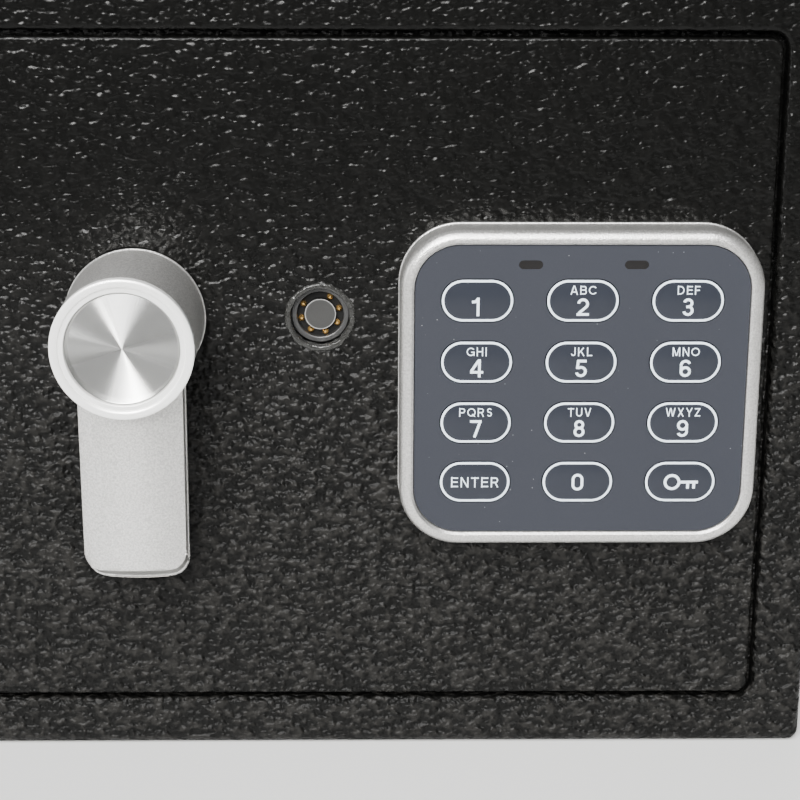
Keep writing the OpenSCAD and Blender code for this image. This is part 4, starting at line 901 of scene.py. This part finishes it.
class SAFE_OT_keypad(bpy.types.Operator):
    """Makes the keypad's bezel, and finishes its face, windows, base and switches"""
    bl_idname = "safe.keypad"
    bl_label = "Keypad"

    def execute(self, context):
        sizes = context.scene.safe_sizes
        size = span("keypad_bezel")
        rim = (size.x - span("keypad_face").x) / 2
        height, face = size.y, heights("keypad_face")[1]
        bm = bmesh.new()
        carry_round(bm, on_door("keypad_bezel"), rounded([
            (0, 0, 0), (0, 0.6 * MM, 0.2 * MM), (0.22 * MM, 0.7 * MM, 0.05 * MM),
            (0.25 * MM, height, sizes.bead), (rim - 0.7 * MM, height - 0.05 * MM, 0.12 * MM),
            (rim - 0.22 * MM, height - 0.45 * MM, 0.06 * MM), (rim - 0.12 * MM, face - 0.2 * MM, 0),
            (rim - 0.02 * MM, face - 1.2 * MM, 0), (rim - 0.02 * MM, 0, 0)], 8),
            size.x, size.z, sizes.bezel_corner)
        paint = silver_paint("bezel_paint", 0.82, 0.24)
        piece("bezel_frame", bm, [paint], "door", ["keypad_bezel"], 50)
        dress(["keypad_face"], matte_face())
        dress(["led_windows"], smoked_window())
        dress(["keypad_base"], moulded_plastic("base_plastic", (0.018, 0.018, 0.02)))
        dress(["switch_board"], switch_mask())
        dress(["switch_domes"], moulded_plastic("dome_rubber", (0.55, 0.55, 0.52), 0.6, 0.8), 0.2 * MM)
        return {"FINISHED"}


class SAFE_OT_keys(bpy.types.Operator):
    """Makes the twelve keys with their white lines and legends"""
    bl_idname = "safe.keys"
    bl_label = "Keys"

    def execute(self, context):
        self.sizes = sizes = context.scene.safe_sizes
        gloss, ink = key_gloss(), key_ink()
        for node in sorted(n for n in CAD if n.startswith("key_")):
            self.cap(node, gloss, ink)
            bm = bmesh.new()
            if node == "key_open":
                self.key_symbol(bm)
            elif node == "key_enter":
                self.word(bm, "ENTER", sizes.word, 0, LETTER_STROKE)
            else:
                letters, digit = LEGENDS[node]
                place = 0 if node == "key_0" else sizes.digit_place
                self.word(bm, digit, sizes.digit, place, DIGIT_STROKE)
                self.word(bm, letters, sizes.letter, sizes.letter_place, LETTER_STROKE)
            hub = self.top(node)
            for v in bm.verts:
                x, z, lift = v.co
                v.co = hub + Vector((x, -self.rise(self.inset(x, z)) - lift, z))
            piece(node + "_legend", bm, [ink], node)
        return {"FINISHED"}

    @staticmethod
    def top(node):
        """Middle of a key's front."""
        place = middle(node)
        place.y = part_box(node)[0].y
        return place

    @staticmethod
    def inset(x, z):
        """Distance of a place on a key in from the key's outline."""
        return END_R - math.hypot(max(0, abs(x) - STRAIGHT), z)

    def rise(self, inset):
        """Height of a key's top at a distance in from its outline."""
        line = self.sizes.outline + self.sizes.rim
        share = max(0, min(1, (inset - line) / (END_R - line)))
        return self.sizes.dome * (1 - (1 - share) ** 2)

    def cap(self, node, gloss, ink):
        """Key: a capsule with a printed rim and a shallow dome."""
        hub, depth = self.top(node), span(node).y
        rim = self.sizes.rim
        line = rim + self.sizes.outline
        path = [(END_R, -depth), (0, -depth), (0, -0.12 * MM), (0.04 * MM, -0.03 * MM), (rim, 0),
                (line, 0)]
        for k in range(1, 9):
            inset = line + (END_R - line) * k / 8
            path.append((inset, self.rise(inset)))
        bm = bmesh.new()
        carry_round(bm, hub, path, KEY_WIDTH, KEY_HEIGHT, END_R, closed=False)
        for face in bm.faces:
            flat = face.calc_center_median() - hub
            face.material_index = int(rim < self.inset(flat.x, flat.z) < line)
        piece(node + "_cap", bm, [gloss, ink], node, [node], 40)

    def slab(self, bm, faces, layer):
        """Gives flat faces the thickness of the ink. Each stroke lies a trace above the last."""
        ink_t, layer_t = 0.035 * MM, 0.002 * MM
        lifted = bmesh.ops.extrude_face_region(bm, geom=faces)["geom"]
        bmesh.ops.translate(bm, verts=only(BMVert, lifted), vec=(0, 0, ink_t + layer * layer_t))

    def bar(self, bm, start, end, width, layer):
        """Straight stroke in the legend's plane."""
        along = end - start
        cell = 0.6 * MM
        cells = max(1, round(along.length / cell))
        turn = math.atan2(along.y, along.x)
        place = (Matrix.Translation(((start + end) / 2).to_3d()) @ Matrix.Rotation(turn, 4, "Z")
                 @ Matrix.Diagonal((along.length / 2, width / 2, 1, 1)))
        made = bmesh.ops.create_grid(bm, x_segments=cells, y_segments=1, size=1, matrix=place)["verts"]
        self.slab(bm, list({f for v in made for f in v.link_faces}), layer)

    def arc(self, bm, hub, radius, first, last, width, layer):
        """Round stroke in the legend's plane, from the first to the last angle in degrees."""
        sweep = math.radians(last - first)
        aim = Vector((math.cos(math.radians(first)), math.sin(math.radians(first)), 0))
        centre = hub.to_3d()
        ends = [centre + aim * (radius + side * width / 2) for side in (-1, 1)]
        verts, edges = chain(bm, ends)
        step_degrees = 11
        steps = max(4, round(abs(last - first) / step_degrees))
        before = set(bm.faces)
        bmesh.ops.spin(bm, geom=verts + edges, cent=centre, axis=(0, 0, 1), angle=sweep, steps=steps)
        faces = [f for f in bm.faces if f not in before]
        self.slab(bm, faces, layer)

    def word(self, bm, text, cap, rise, stroke):
        """Legend with its middle at a height above the key's centre."""
        total = sum(GLYPHS[c][0] for c in text) + LETTER_GAP * max(0, len(text) - 1)
        x = -total / 2
        layer = 0
        for c in text:
            wide, strokes = GLYPHS[c]
            for numbers in strokes:
                layer += 1
                at = Vector((x + numbers[0], numbers[1] - 0.5)) * cap + Vector((0, rise))
                if len(numbers) == 4:
                    to = Vector((x + numbers[2], numbers[3] - 0.5)) * cap + Vector((0, rise))
                    self.bar(bm, at, to, stroke * cap, layer)
                else:
                    self.arc(bm, at, numbers[2] * cap, *numbers[3:], stroke * cap, layer)
            x += wide + LETTER_GAP

    def key_symbol(self, bm):
        """Symbol of a key: a ring, a shaft and two teeth."""
        line, ring_x, ring_r = 0.58 * MM, -1.7 * MM, 1.48 * MM
        shaft_start, shaft_end = -0.25 * MM, 3.8 * MM
        tooth = Vector((0, -1.45 * MM))
        self.arc(bm, Vector((ring_x, 0)), ring_r, 0, 360, line, 1)
        self.bar(bm, Vector((shaft_start, 0)), Vector((shaft_end, 0)), line, 2)
        for layer, x in ((3, 2.96 * MM), (4, 1.66 * MM)):
            root = Vector((x, 0))
            self.bar(bm, root, root + tooth, line, layer)


class SAFE_OT_boltwork(bpy.types.Operator):
    """Finishes the boltwork, the crank and the solenoid"""
    bl_idname = "safe.boltwork"
    bl_label = "Boltwork"

    def execute(self, context):
        zinc = zinc_plate()
        dress(["bolt_carriage", "drive_crank", "lock_cam", "solenoid_frame", "cam_screw", "crank_screw"],
              zinc, 0.2 * MM)
        dress(["live_bolts", "spindle", "solenoid_plunger"], zinc_plate("turned_zinc"), 0.25 * MM)
        dress(["plunger_spring"], zinc)
        dress(["spindle_bush"], sintered_bronze(), 0.2 * MM)
        dress(["solenoid_coil"], copper_winding())
        return {"FINISHED"}


class SAFE_OT_power(bpy.types.Operator):
    """Finishes the battery box, the control board, the cable and the reset button"""
    bl_idname = "safe.power"
    bl_label = "Battery box and board"

    def execute(self, context):
        black = moulded_plastic("black_plastic", (0.016, 0.016, 0.017), 0.4, 0.5)
        dress(["battery_tray"], black, 0.25 * MM)
        dress(["battery_cells"], battery_sleeve(), 0.5 * MM)
        dress(["battery_contacts"], zinc_plate("contact_zinc"))
        dress(["control_board"], circuit_board())
        dress(["ribbon_cable"], ribbon_wires())
        dress(["reset_button"], moulded_plastic("red_plastic", (0.42, 0.014, 0.01), 0.28, 0.9), 0.5 * MM)
        dress(["battery_lid"], black, 0.35 * MM)
        return {"FINISHED"}


class SAFE_PT_finish(bpy.types.Panel):
    """Lists the pieces of the finish with their sizes and colours"""
    bl_idname = "SAFE_PT_finish"
    bl_label = "Safe Finish"
    bl_space_type = "VIEW_3D"
    bl_region_type = "UI"
    bl_category = "Safe"

    def draw(self, context):
        column = self.layout.column(align=True)
        for operator in OPERATORS:
            column.operator(operator.bl_idname)
        for group in (context.scene.safe_sizes, context.scene.safe_colours):
            column = self.layout.column(align=True)
            for name in group.__annotations__:
                column.prop(group, name)


OPERATORS = (SAFE_OT_stage, SAFE_OT_case, SAFE_OT_door, SAFE_OT_handle, SAFE_OT_override_lock,
             SAFE_OT_keypad, SAFE_OT_keys, SAFE_OT_boltwork, SAFE_OT_power)
CLASSES = (SafeSizes, SafeColours, *OPERATORS, SAFE_PT_finish)


def register():
    for cls in CLASSES:
        bpy.utils.register_class(cls)
    bpy.types.Scene.safe_sizes = PointerProperty(type=SafeSizes)
    bpy.types.Scene.safe_colours = PointerProperty(type=SafeColours)


def unregister():
    del bpy.types.Scene.safe_colours
    del bpy.types.Scene.safe_sizes
    for cls in reversed(CLASSES):
        bpy.utils.unregister_class(cls)


def main():
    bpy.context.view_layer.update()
    register()
    bpy.ops.safe.stage()
    bpy.ops.safe.case()
    bpy.ops.safe.door()
    bpy.ops.safe.handle()
    bpy.ops.safe.override_lock()
    bpy.ops.safe.keypad()
    bpy.ops.safe.keys()
    bpy.ops.safe.boltwork()
    bpy.ops.safe.power()
    bpy.context.view_layer.update()


if __name__ == "__main__":
    main()
